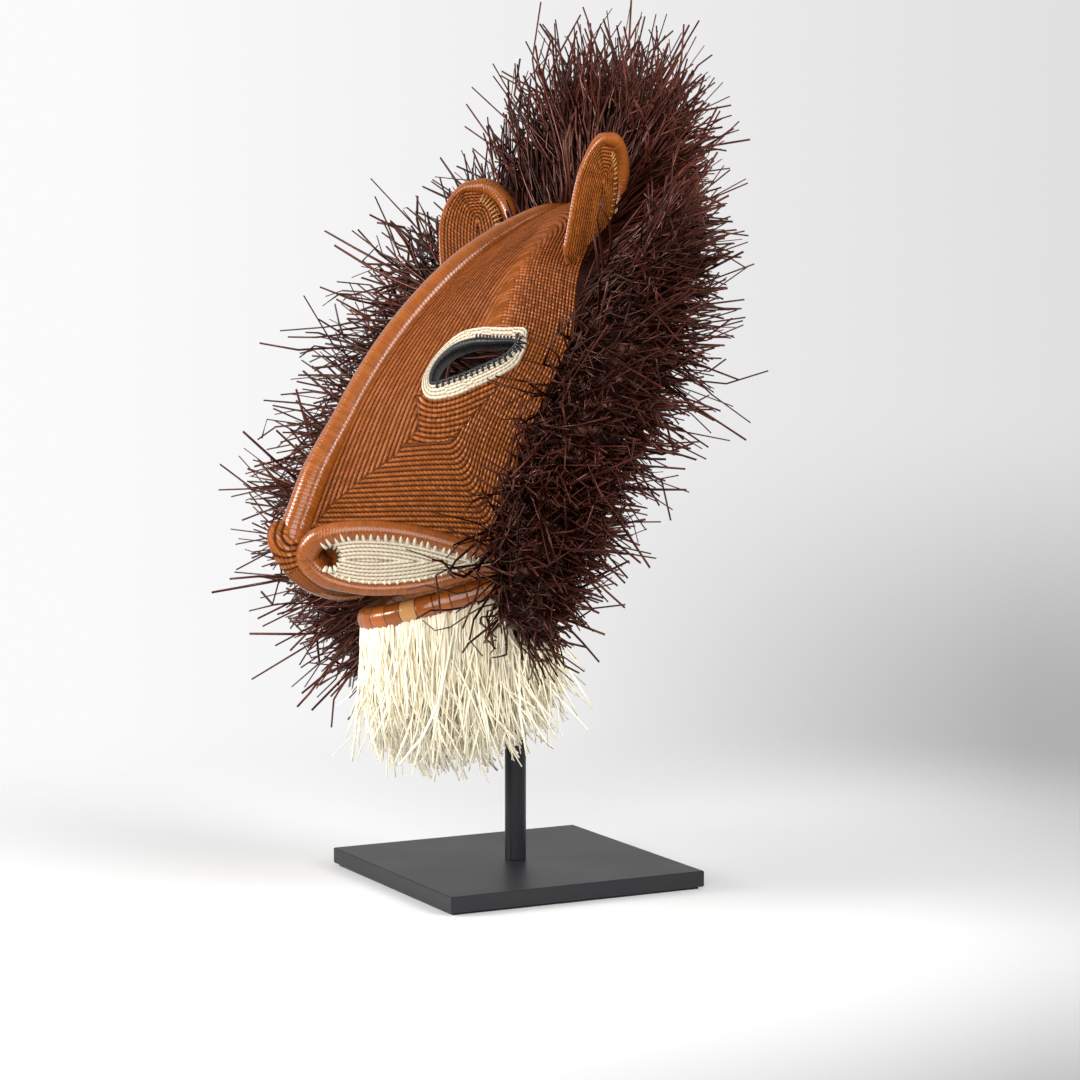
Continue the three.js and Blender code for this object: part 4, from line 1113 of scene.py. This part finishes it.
def mane_strands(low, high, count, crowding, generator):
    """Loose mane strands with roots in a stretch of the root line: each leaves the rim outwards at an angle in the
    fan between its backward and forward limits, bends at random and sags a little. Neighbours share part of their
    bend. Hair behind the left ear is combed back, hair beside the right ear forward, and low on the right it hangs
    longer. A few strands point to the rear, and a few low ones are loose. Strands on the left side, turned away from
    the key light, are darkened as painted shade."""
    path, to_back = mane_root(), np.array(TO_BACK)
    share = low + (high - low) * generator.uniform(0, 1, count) ** crowding
    along = heading(path, share)
    outward = outward_of(along)
    side, on_right, on_left = np.abs(2 * share - 1), share < 0.5, share > 0.5
    turn = generator.uniform(0, 1, count)
    behind_ear = ear_clearing(share)
    far_tuft = np.exp(-((side - MANE_EAR_AT) / MANE_TUFT_SPAN) ** 2) * on_right
    near_low = smoothstep(side, 0.42, 0.6) * (1 - smoothstep(side, 0.78, 0.9)) * on_left
    far_low = smoothstep(side, 0.8, 1.0) * on_right

    forward = spread(MANE_FORWARD, side) - MANE_EAR_BACK * behind_ear + MANE_TUFT_FORWARD * far_tuft
    scatter = np.clip(generator.normal(0, 4, count), -7, 7) * (1 - 0.6 * behind_ear)
    angle = MANE_BACKWARD + (-forward - MANE_BACKWARD) * turn + scatter
    rear = (generator.uniform(0, 1, count) < MANE_REAR_SHARE) & (side > 0.4)
    angle = np.where(rear, generator.uniform(MANE_BACKWARD, MANE_REAR_END, count), angle)
    angle = np.where(on_right & (turn > 0.6) & (side > 0.4), angle - MANE_RIGHT_TURN, angle)
    length = spread(MANE_LENGTHS, side) * mane_reach(angle) * (1 + 0.06 * far_tuft)
    uneven = np.where(on_right, *MANE_UNEVEN) * generator.beta(1.2, 2.2, count)
    length = length * (1.0 - 0.1 * near_low + 0.2 * far_low - uneven)

    angle = np.radians(angle)[:, None]
    root = on_path(path, share) + outward * 0.5 + to_back * (4.5 - 5 * turn + 5 * behind_ear)[:, None]
    way = np.cos(angle) * outward + np.sin(angle) * to_back
    loose = (generator.uniform(0, 1, count) < MANE_LOOSE_SHARE) & (side > 0.8)
    drift = 0.45 * outward - 0.8 * to_back + 0.5 * way_down() + generator.normal(0, 0.2, (count, 3))
    way = np.where(loose[:, None], drift, way)
    sideways = np.clip(generator.normal(0, 0.2, count), -0.36, 0.36) * (1 - 0.5 * behind_ear)
    way = unit(way + along * sideways[:, None])

    clump = np.floor(share * MANE_CLUMPS) + 37 * np.floor(turn * 5)
    shared = np.stack([np.sin(clump * 12.9), np.sin(clump * 78.2 + 1), np.sin(clump * 37.7 + 2)], -1)
    own = np.clip(generator.normal(0, 0.12, (count, 3)), -0.2, 0.2)
    bend = MANE_SHARED_BEND * shared + own + (MANE_SAG + MANE_LOW_SAG * far_low)[:, None] * way_down()
    bend = bend * (1 - 0.6 * behind_ear)[:, None]
    bend[:, 1] = np.maximum(bend[:, 1], np.where(on_right, *MANE_FORWARD_BEND))
    bend = bend - (bend * way).sum(-1, keepdims=True) * way
    radius = mm(sizes().strand_radius) * generator.uniform(0.7, 1.2, count) * np.where(on_right, *MANE_THICKER)
    points, faces = strands(root, way, length, bend, radius, MANE_SEGMENTS, generator, MANE_TAPER, MANE_SWAY)
    rings = MANE_SEGMENTS + 1
    tint = generator.uniform(0, 1, count)[:, None] * np.ones((1, rings))
    shade = 0.7 * tint ** 3 + 0.34 * np.linspace(0, 1, rings)[None, :] ** 1.5
    # Painted shade: strands on the left side, away from the key light, are made darker
    shade = shade * (1 - 0.4 * (side > 0.35) * on_left)[:, None]
    return points, faces, {"shade": np.repeat(shade[..., None], 3, 2)}


def node(tree, kind, inputs=(), **settings):
    """Adds a node, sets its options, and fills inputs by name or number with a value or another node's output."""
    made = tree.nodes.new(kind)
    for key, value in settings.items():
        setattr(made, key, value)
    for key, value in dict(inputs).items():
        if isinstance(value, bpy.types.NodeSocket):
            tree.links.new(value, made.inputs[key])
        else:
            made.inputs[key].default_value = value
    return made


def maths(tree, operation, a, b=0.0, c=0.0):
    """One arithmetic node's result."""
    return node(tree, "ShaderNodeMath", {0: a, 1: b, 2: c}, operation=operation).outputs[0]


def mixed(tree, factor, a, b):
    """Two colours mixed by a factor."""
    return node(tree, "ShaderNodeMix", {0: factor, 6: a, 7: b}, data_type="RGBA").outputs[2]


def ranged(tree, value, low, high, to_low=0.0, to_high=1.0, curve="SMOOTHSTEP"):
    """A value carried from one range to another and held at its ends."""
    return node(tree, "ShaderNodeMapRange", {"Value": value, "From Min": low, "From Max": high, "To Min": to_low,
                                             "To Max": to_high}, interpolation_type=curve).outputs[0]


def attribute(tree, name):
    """The value of one of the piece's own attributes."""
    return node(tree, "ShaderNodeAttribute", attribute_name=name).outputs["Fac"]


def new_group(name, inputs, outputs):
    """A shader node group with named value inputs and outputs."""
    group = bpy.data.node_groups.new(name, "ShaderNodeTree")
    for label, default in inputs:
        socket = group.interface.new_socket(label, in_out="INPUT", socket_type="NodeSocketFloat")
        socket.default_value = default
    for label in outputs:
        group.interface.new_socket(label, in_out="OUTPUT", socket_type="NodeSocketFloat")
    return group, group.nodes.new("NodeGroupInput"), group.nodes.new("NodeGroupOutput")


def sewn_rows_group():
    """Sewn or wrapped rows, read from a piece's row and along attributes: the height of each row's cord with its
    stitches, a mask that is 0 in the grooves, a tint that changes from stitch to stitch, the row's number, and the
    glint on the crests."""
    found = bpy.data.node_groups.get("sewn_rows")
    if found:
        return found
    group, start, end = new_group("sewn_rows", (("Flatness", 2.0), ("Beads", 0.3), ("Slant", 0.3), ("Bridges", 0.0)),
                                  ("Height", "Crest", "Tint", "Row", "Glint"))

    def calc(operation, *values):
        return maths(group, operation, *values)
    row, along, fine = (attribute(group, name) for name in ("row", "along", "fine"))
    row_number = calc("FLOOR", row)
    x = calc("MULTIPLY_ADD", calc("FRACT", row), 2.0, -1.0)
    cord = calc("SUBTRACT", 1.0, calc("POWER", calc("ABSOLUTE", x), start.outputs["Flatness"]))
    cord = calc("MULTIPLY_ADD", calc("MULTIPLY", fine, FINE_FLAT), calc("SUBTRACT", 1.0, cord), cord)
    shifted = calc("ADD", along, calc("MULTIPLY", row_number, STITCH_STEP))
    stitch = calc("ADD", shifted, calc("MULTIPLY", x, start.outputs["Slant"]))
    bead = calc("POWER", calc("ABSOLUTE", calc("SINE", calc("MULTIPLY", stitch, math.pi))), 0.5)
    lowered = calc("MULTIPLY", calc("SUBTRACT", 1.0, bead), start.outputs["Beads"])
    height = calc("MULTIPLY", cord, calc("SUBTRACT", 1.0, lowered))
    over = calc("ABSOLUTE", calc("SINE", calc("MULTIPLY_ADD", along, math.pi, 0.7)))
    bridge = ranged(group, over, 0.55, 0.95, curve="LINEAR")
    height = calc("MAXIMUM", height, calc("MULTIPLY", bridge, start.outputs["Bridges"]))
    pair = node(group, "ShaderNodeCombineXYZ", {0: row_number, 1: calc("FLOOR", stitch)}).outputs[0]
    tint = node(group, "ShaderNodeTexWhiteNoise", {"Vector": pair}, noise_dimensions="2D").outputs["Value"]
    glint = calc("MULTIPLY", ranged(group, height, 0.72, 0.97), calc("GREATER_THAN", tint, 0.4))
    for label, value in (("Height", height), ("Crest", ranged(group, height, 0.18, 0.85)), ("Tint", tint),
                         ("Row", row_number), ("Glint", glint)):
        group.links.new(value, end.inputs[label])
    return group


def fibre_group():
    """Fine fibres and blotches in Object coordinates: a grain for bump and a soft blotch for colour."""
    found = bpy.data.node_groups.get("fibre_grain")
    if found:
        return found
    group, start, end = new_group("fibre_grain", (("Scale", 900.0), ("Blotch Scale", 26.0)), ("Grain", "Blotch"))
    place = node(group, "ShaderNodeTexCoord").outputs["Object"]
    for scale, label in (("Scale", "Grain"), ("Blotch Scale", "Blotch")):
        noise = node(group, "ShaderNodeTexNoise", {"Vector": place, "Scale": start.outputs[scale], "Detail": 3.0})
        group.links.new(noise.outputs["Fac"], end.inputs[label])
    return group


def grained(tree, scale, blotch_scale):
    """The grain and the blotch of the fibre group, placed with its own scales."""
    made = node(tree, "ShaderNodeGroup", {"Scale": scale, "Blotch Scale": blotch_scale}, node_tree=fibre_group())
    return made.outputs["Grain"], made.outputs["Blotch"]


def new_material(name):
    """An empty material and its shader."""
    material = bpy.data.materials.new(name)
    material.use_nodes = True
    tree = material.node_tree
    tree.nodes.clear()
    shader = tree.nodes.new("ShaderNodeBsdfPrincipled")
    end = tree.nodes.new("ShaderNodeOutputMaterial")
    tree.links.new(shader.outputs[0], end.inputs["Surface"])
    return material, tree, shader


def rgba(values):
    """A colour with full alpha."""
    return (*values, 1.0)


def scaled(values, factor):
    """A colour made darker or lighter by a factor."""
    return tuple(min(1.0, v * factor) for v in values)


def sewn_material(name, low, high, groove_shade, roughness, beads, flatness=2.0, bump=0.0005, contrast=0.6, toned=None,
                  coat=0.0, bridges=0.0, band=None, specular=0.5, glint=0.0):
    """Sewn or wrapped fibre: two shades picked stitch by stitch over the groove's colour, which is painted shade where
    the cords sink, with cords, stitches and grain in the bump. A second shade may take over along the piece's tone;
    where the tone is past the end, on the inside, the colour turns to painted shade. One row may be a band of its own
    colour. A glint coats the crests of some stitches alone."""
    found = bpy.data.materials.get(name)
    if found:
        return found
    material, tree, shader = new_material(name)
    rows = node(tree, "ShaderNodeGroup", {"Flatness": flatness, "Beads": beads, "Bridges": bridges},
                node_tree=sewn_rows_group()).outputs
    grain, blotch = grained(tree, 900.0, 26.0)
    pick = maths(tree, "MULTIPLY_ADD", rows["Tint"], contrast,
                 maths(tree, "MULTIPLY_ADD", blotch, 1.0 - contrast, 0.0))
    shade = mixed(tree, pick, rgba(low), rgba(high))
    if toned is not None:
        tone = attribute(tree, "tone")
        toned_shade = mixed(tree, pick, rgba(scaled(toned, 0.7)), rgba(scaled(toned, 1.35)))
        shade = mixed(tree, ranged(tree, tone, 0.35, 0.75), shade, toned_shade)
        # Painted shade: where the tone is past the end, on the inside of the wall, the colour turns to the darkened
        # groove colour
        inside = ranged(tree, tone, 1.2, 2.0, curve="LINEAR")
        shade = mixed(tree, inside, shade, rgba(scaled(groove_shade, 0.8)))
    if band is not None:
        shade = mixed(tree, maths(tree, "COMPARE", rows["Row"], band[0], 0.5), shade, rgba(band[1]))
    # Painted shade: the groove colour takes over where the cord sinks low, by the crest mask
    tree.links.new(mixed(tree, rows["Crest"], rgba(groove_shade), shade), shader.inputs["Base Color"])
    rough = maths(tree, "MULTIPLY_ADD", rows["Tint"], 0.14,
                  maths(tree, "MULTIPLY_ADD", rows["Crest"], -0.2, roughness + 0.13))
    tree.links.new(rough, shader.inputs["Roughness"])
    height = maths(tree, "MULTIPLY_ADD", grain, 0.22, rows["Height"])
    lifted = node(tree, "ShaderNodeBump", {"Height": height, "Distance": bump, "Strength": 0.9}).outputs[0]
    tree.links.new(lifted, shader.inputs["Normal"])
    shader.inputs["Specular IOR Level"].default_value = specular
    shader.inputs["Coat Roughness"].default_value = 0.12
    if glint:
        tree.links.new(maths(tree, "MULTIPLY", rows["Glint"], glint), shader.inputs["Coat Weight"])
        tree.links.new(lifted, shader.inputs["Coat Normal"])
    else:
        shader.inputs["Coat Weight"].default_value = coat
    return material


def strand_material(name, dark, light, roughness, gloss=0.22, gloss_tint=(1.0, 1.0, 1.0)):
    """Loose fibre: from dark to light by the piece's shade attribute, which in the mane holds painted shade too, with
    fine grain.
    """
    material, tree, shader = new_material(name)
    grain, blotch = grained(tree, 700.0, 60.0)
    pick = maths(tree, "MULTIPLY_ADD", blotch, 0.3, maths(tree, "SUBTRACT", attribute(tree, "shade"), 0.15))
    clamped = node(tree, "ShaderNodeClamp", {"Value": pick}).outputs[0]
    tree.links.new(mixed(tree, clamped, rgba(dark), rgba(light)), shader.inputs["Base Color"])
    tree.links.new(maths(tree, "MULTIPLY_ADD", grain, 0.25, roughness - 0.12), shader.inputs["Roughness"])
    shader.inputs["Specular IOR Level"].default_value = gloss
    shader.inputs["Specular Tint"].default_value = rgba(gloss_tint)
    return material


def woven_material():
    """Brown sewn coil of the face, the nose and the ears."""
    c = colours()
    # The groove colour is painted shade between the rows.
    return sewn_material("sewn_coil", scaled(c.woven, 0.65), scaled(c.woven, 1.4), c.groove_shade, 0.42, 0.6, bump=0.0008,
                         toned=c.woven_red, contrast=0.72, bridges=0.42, specular=0.1, glint=0.9)


def wrapped_material():
    """Glossy brown fibre wrapped round the rolls."""
    c = colours()
    # The darker wrapped colour is painted shade in the narrow grooves between turns.
    return sewn_material("wrapped_turns", scaled(c.wrapped, 0.8), scaled(c.wrapped, 1.25),
                         scaled(c.wrapped, 0.5), 0.2, 0.0, flatness=6.0, bump=0.0002, coat=0.3, specular=0.4)


def cream_material():
    """Undyed sewn coil of the eyes and the muzzle."""
    c = colours()
    # The cream gap colour is partly the brown fibre between the rows and partly painted shade.
    return sewn_material("sewn_cream", scaled(c.cream, 0.85), scaled(c.cream, 1.15), c.cream_gap, 0.6, 0.5,
                         bridges=0.5)


def steel_material(name, roughness, gloss):
    """Satin powder coat: near black, with a fine orange-peel bump and a little patchy gloss."""
    material, tree, shader = new_material(name)
    c = colours()
    grain, blotch = grained(tree, 1400.0, 14.0)
    shade = mixed(tree, blotch, rgba(scaled(c.steel, 0.8)), rgba(scaled(c.steel, 1.25)))
    tree.links.new(shade, shader.inputs["Base Color"])
    tree.links.new(maths(tree, "MULTIPLY_ADD", blotch, 0.14, roughness - 0.07), shader.inputs["Roughness"])
    lifted = node(tree, "ShaderNodeBump", {"Height": grain, "Distance": 0.00012, "Strength": 0.35}).outputs[0]
    tree.links.new(lifted, shader.inputs["Normal"])
    shader.inputs["Specular IOR Level"].default_value = gloss
    return material


def felt_material():
    """Dull black felt with a fine nap."""
    material, tree, shader = new_material("black_felt")
    grain, _ = grained(tree, 1600.0, 40.0)
    tree.links.new(mixed(tree, grain, rgba(FELT_DARK), rgba(FELT_LIGHT)), shader.inputs["Base Color"])
    shader.inputs["Roughness"].default_value = 0.95
    return material


class PieceOperator:
    """Shared by the operators below."""
    bl_options = {"REGISTER", "UNDO"}


def both_sides(name, shape, material, slot, replaces=None):
    """A left piece, and its mirror image on the right with its faces turned round. Each side may replace solids."""
    points, faces, attributes = shape
    flat = np.reshape(points, (-1, 3))
    for side, sign in (("left", 1), ("right", -1)):
        add_piece(f"{name}_{side}", to_part(flat * np.array([sign, 1, 1])), faces, material, slot,
                  (replaces or {}).get(side, ()), flip=sign < 0, **attributes)


def pair_of(solid):
    """The left and the right solid of a pair."""
    return {side: (f"{solid}_{side}",) for side in ("left", "right")}


def single(name, shape, material, slot, replaces=()):
    """A piece that isn't mirrored."""
    points, faces, attributes = shape
    add_piece(name, to_part(np.reshape(points, (-1, 3))), faces, material, slot, replaces, **attributes)


class WOVENMASK_OT_face(PieceOperator, bpy.types.Operator):
    """Builds the two coiled halves of the face, the wrapped ridge and the nose pad"""
    bl_idname = "woven_mask.face"
    bl_label = "Face"

    def execute(self, context):
        both_sides("face", face_half(), woven_material(), "woven_brown", {"left": ("face_shell",)})
        single("ridge_roll", ridge_roll(), wrapped_material(), "woven_brown")
        single("nose_pad", nose_pad(), woven_material(), "woven_brown")
        return {"FINISHED"}


class WOVENMASK_OT_eyes(PieceOperator, bpy.types.Operator):
    """Builds the cream borders, the black rims and their stitches"""
    bl_idname = "woven_mask.eyes"
    bl_label = "Eyes"

    def execute(self, context):
        c = colours()
        # The darkest black is painted shade between the turns of the rim.
        black = sewn_material("wrapped_black", scaled(c.black, 0.7), scaled(c.black, 1.6), scaled(c.black, 0.4), 0.3,
                              0.0, bump=0.0002)
        both_sides("eye_coil", eye_border(), cream_material(), "cream_coil", pair_of("eye_border"))
        both_sides("eye_lining", eye_rim(), black, "black_fibre", pair_of("eye_rim"))
        both_sides("eye_stitches", eye_stitches(), black, "black_fibre")
        return {"FINISHED"}


class WOVENMASK_OT_muzzle(PieceOperator, bpy.types.Operator):
    """Builds the muzzle's wrapped borders, cream panels, nostrils and stitches"""
    bl_idname = "woven_mask.muzzle"
    bl_label = "Muzzle"

    def execute(self, context):
        both_sides("muzzle_roll", muzzle_border(), wrapped_material(), "wrapped_brown", pair_of("muzzle_border"))
        both_sides("muzzle_coil", muzzle_panel(), cream_material(), "cream_coil", pair_of("muzzle_panel"))
        both_sides("nostril", nostril(), wrapped_material(), "wrapped_brown")
        both_sides("panel_stitches", panel_stitches(), cream_material(), "cream_coil")
        return {"FINISHED"}


class WOVENMASK_OT_ears(PieceOperator, bpy.types.Operator):
    """Builds the coiled ears with their wrapped edges"""
    bl_idname = "woven_mask.ears"
    bl_label = "Ears"

    def execute(self, context):
        c = colours()
        bright = sewn_material("bright_stitch", scaled(c.light_band, 0.7), c.light_band, scaled(c.light_band, 0.5), 0.2,
                               0.0, coat=0.3)
        both_sides("ear_leaf", ear_leaf(), woven_material(), "woven_brown", pair_of("ear"))
        both_sides("ear_roll", ear_roll(), wrapped_material(), "wrapped_brown")
        both_sides("ear_stitches", ear_stitches(), bright, "wrapped_brown")
        return {"FINISHED"}


class WOVENMASK_OT_lip(PieceOperator, bpy.types.Operator):
    """Builds the banded lower lip"""
    bl_idname = "woven_mask.lip"
    bl_label = "Lower lip"

    def execute(self, context):
        c = colours()
        # The groove colour is painted shade between the flat turns.
        banded = sewn_material("banded_turns", scaled(c.wrapped, 0.8), scaled(c.wrapped, 1.5), c.groove_shade, 0.16, 0.0,
                               flatness=14.0, bump=0.0003, contrast=0.8, coat=0.12, band=(LIP_BAND, c.light_band))
        single("lip_roll", lower_lip(), banded, "wrapped_brown", ("lower_lip",))
        return {"FINISHED"}


class WOVENMASK_OT_beard(PieceOperator, bpy.types.Operator):
    """Builds the beard's dense middle and its loose strands"""
    bl_idname = "woven_mask.beard"
    bl_label = "Beard"

    def execute(self, context):
        c = colours()
        cream = strand_material("beard_strand", c.beard_deep, c.beard, 0.6)
        generator = np.random.default_rng(sizes().seed + 1)
        single("beard_core", beard_core(), cream, "cream_fibre", ("beard",))
        single("beard_strands", beard_strands(generator), cream, "cream_fibre")
        return {"FINISHED"}


class WOVENMASK_OT_mane(PieceOperator, bpy.types.Operator):
    """Builds the mane's bound edge, its middle darkened as painted shade, and loose strands"""
    bl_idname = "woven_mask.mane"
    bl_label = "Mane"

    def execute(self, context):
        c = colours()
        fibre = strand_material("mane_strand", c.mane_dark, c.mane_light, 0.3, 0.42, MANE_GLOSS)
        single("mane_core", mane_core(), fibre, "mane_fibre", ("mane",))
        single("rim_binding", rim_binding(), fibre, "mane_fibre")
        for index, (name, low, high, dense, crowding) in enumerate(MANE_STRETCHES):
            generator = np.random.default_rng(sizes().seed + 10 + index)
            count = int(sizes().mane_strands * (high - low) * dense)
            single(name, mane_strands(low, high, count, crowding, generator), fibre, "mane_fibre")
        return {"FINISHED"}


class WOVENMASK_OT_stand(PieceOperator, bpy.types.Operator):
    """Gives the stand's plate, rod and felt their finishes"""
    bl_idname = "woven_mask.stand"
    bl_label = "Stand"

    def execute(self, context):
        for name, finish in (("base_plate", steel_material("plate_coat", 0.4, 0.3)),
                             ("rod", steel_material("rod_coat", 0.34, 0.2)), ("felt_pad", felt_material())):
            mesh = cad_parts[name].data
            mesh.materials.clear()
            mesh.materials.append(finish)
        return {"FINISHED"}


def placed(x, y, z, place):
    """A matrix from three ways and a place."""
    return Matrix([[float(x[i]), float(y[i]), float(z[i]), float(place[i])] for i in range(3)] + [[0, 0, 0, 1]])


def camera_ways():
    """The camera's ways to the right, up and back."""
    azimuth, drop = math.radians(CAMERA_AZIMUTH), math.radians(CAMERA_DROP)
    back = np.array([math.sin(azimuth) * math.cos(drop), -math.cos(azimuth) * math.cos(drop), math.sin(drop)])
    right = np.array([math.cos(azimuth), math.sin(azimuth), 0.0])
    return right, np.cross(back, right), back


def add_floor(scene):
    """A wide flat floor that fades out round the stand."""
    mesh = bpy.data.meshes.new("floor")
    mesh.from_pydata([(x * FLOOR_REACH, y * FLOOR_REACH, 0) for x, y in ((-1, -1), (1, -1), (1, 1), (-1, 1))], [],
                     [(0, 1, 2, 3)])
    floor = bpy.data.objects.new("floor", mesh)
    scene.collection.objects.link(floor)
    material, tree, shader = new_material("pale_floor")
    shader.inputs["Base Color"].default_value = rgba(colours().floor)
    shader.inputs["Roughness"].default_value = 0.8
    away = node(tree, "ShaderNodeVectorMath", {0: node(tree, "ShaderNodeTexCoord").outputs["Object"]},
                operation="LENGTH").outputs["Value"]
    tree.links.new(ranged(tree, away, *FLOOR_FADE, 1.0, 0.0), shader.inputs["Alpha"])
    mesh.materials.append(material)


def add_camera(scene):
    """The camera at the view's place and angle."""
    look = bpy.data.cameras.new("camera")
    look.lens = CAMERA_LENS
    look.sensor_width = CAMERA_SENSOR
    look.clip_start = 0.05
    camera = bpy.data.objects.new("camera", look)
    camera.matrix_world = placed(*camera_ways(), CAMERA_PLACE)
    scene.collection.objects.link(camera)
    scene.camera = camera


def add_lights(scene, stage):
    """Square lights round the part, each turned to its middle."""
    right, _, back = camera_ways()
    for name, aside, near, high, size in LIGHTS:
        lamp = bpy.data.lights.new(name, "AREA")
        lamp.size = size
        lamp.energy = getattr(stage, name.replace("_light", "_power"))
        light = bpy.data.objects.new(name, lamp)
        offset = aside * right + near * back + np.array([0, 0, high])
        toward = unit(offset)
        across = unit(np.cross([0, 0, 1.0], toward))
        light.matrix_world = placed(across, np.cross(toward, across), toward, np.array(LIGHT_MIDDLE) + offset)
        scene.collection.objects.link(light)


def add_surroundings(scene, strength):
    """Even light all round, weaker from behind the camera, and a backdrop with painted shade that darkens it to the
    right and a painted shadow low down there."""
    right, up, back = camera_ways()
    world = bpy.data.worlds.new("studio")
    world.use_nodes = True
    tree = world.node_tree
    sky = tree.nodes["Background"]
    way = node(tree, "ShaderNodeTexCoord").outputs["Generated"]

    def towards(aim):
        return node(tree, "ShaderNodeVectorMath", {0: way, 1: tuple(float(v) for v in aim)},
                    operation="DOT_PRODUCT").outputs["Value"]
    to_left = towards(-right)
    # Painted shade and shadow on the backdrop: darker to the right, and darker still low down there
    bright = ranged(tree, to_left, *BACKDROP_SHADE_ACROSS, curve="LINEAR")
    aside = ranged(tree, to_left, *BACKDROP_SHADOW_ASIDE, curve="LINEAR")
    low = ranged(tree, towards(up), *BACKDROP_SHADOW_LOW)
    bright = maths(tree, "MULTIPLY", bright, maths(tree, "SUBTRACT", 1.0, maths(tree, "MULTIPLY", aside, low)))
    room = ranged(tree, towards(-back), *ROOM_TURN, ROOM_NEAR * strength, strength, curve="LINEAR")
    seen = node(tree, "ShaderNodeLightPath").outputs["Is Camera Ray"]
    tree.links.new(node(tree, "ShaderNodeMix", {0: seen, 2: room, 3: bright}).outputs[0], sky.inputs["Strength"])
    sky.inputs["Color"].default_value = (1.0, 1.0, 1.0, 1.0)
    scene.world = world


class WOVENMASK_OT_stage(PieceOperator, bpy.types.Operator):
    """Makes the pale floor, the studio lights and the camera"""
    bl_idname = "woven_mask.stage"
    bl_label = "Stage"

    def execute(self, context):
        scene, stage = context.scene, context.scene.woven_mask_stage
        add_floor(scene)
        add_camera(scene)
        add_lights(scene, stage)
        add_surroundings(scene, stage.sky)
        scene.view_settings.view_transform = "Standard"
        return {"FINISHED"}


class WOVENMASK_PT_panel(bpy.types.Panel):
    """Lists the builders of the mask's pieces and its settings."""
    bl_label = "Woven Mask"
    bl_idname = "WOVENMASK_PT_panel"
    bl_space_type = "VIEW_3D"
    bl_region_type = "UI"
    bl_category = "Woven Mask"

    def draw(self, context):
        layout = self.layout
        for operator in OPERATORS:
            layout.operator(operator.bl_idname)
        for setting in SETTINGS:
            group, box = getattr(context.scene, setting), layout.box()
            for name in group.bl_rna.properties.keys():
                if name not in ("rna_type", "name"):
                    box.prop(group, name)


SETTINGS = {"woven_mask_sizes": WovenMaskSizes, "woven_mask_colours": WovenMaskColours,
            "woven_mask_stage": WovenMaskStage}
OPERATORS = (WOVENMASK_OT_stand, WOVENMASK_OT_face, WOVENMASK_OT_eyes, WOVENMASK_OT_muzzle, WOVENMASK_OT_ears,
             WOVENMASK_OT_lip, WOVENMASK_OT_beard, WOVENMASK_OT_mane, WOVENMASK_OT_stage)
CLASSES = (*SETTINGS.values(), *OPERATORS, WOVENMASK_PT_panel)


def register():
    """Makes the classes and the scene's settings known."""
    for item in CLASSES:
        bpy.utils.register_class(item)
    for name, group in SETTINGS.items():
        setattr(bpy.types.Scene, name, bpy.props.PointerProperty(type=group))


def unregister():
    """Takes the settings and the classes back."""
    for name in SETTINGS:
        delattr(bpy.types.Scene, name)
    for item in reversed(CLASSES):
        bpy.utils.unregister_class(item)


def main():
    """Builds every piece and the stage."""
    register()
    for name in ("stand", "face", "eyes", "muzzle", "ears", "lip", "beard", "mane", "stage"):
        getattr(bpy.ops.woven_mask, name)()


if __name__ == "__main__":
    main()
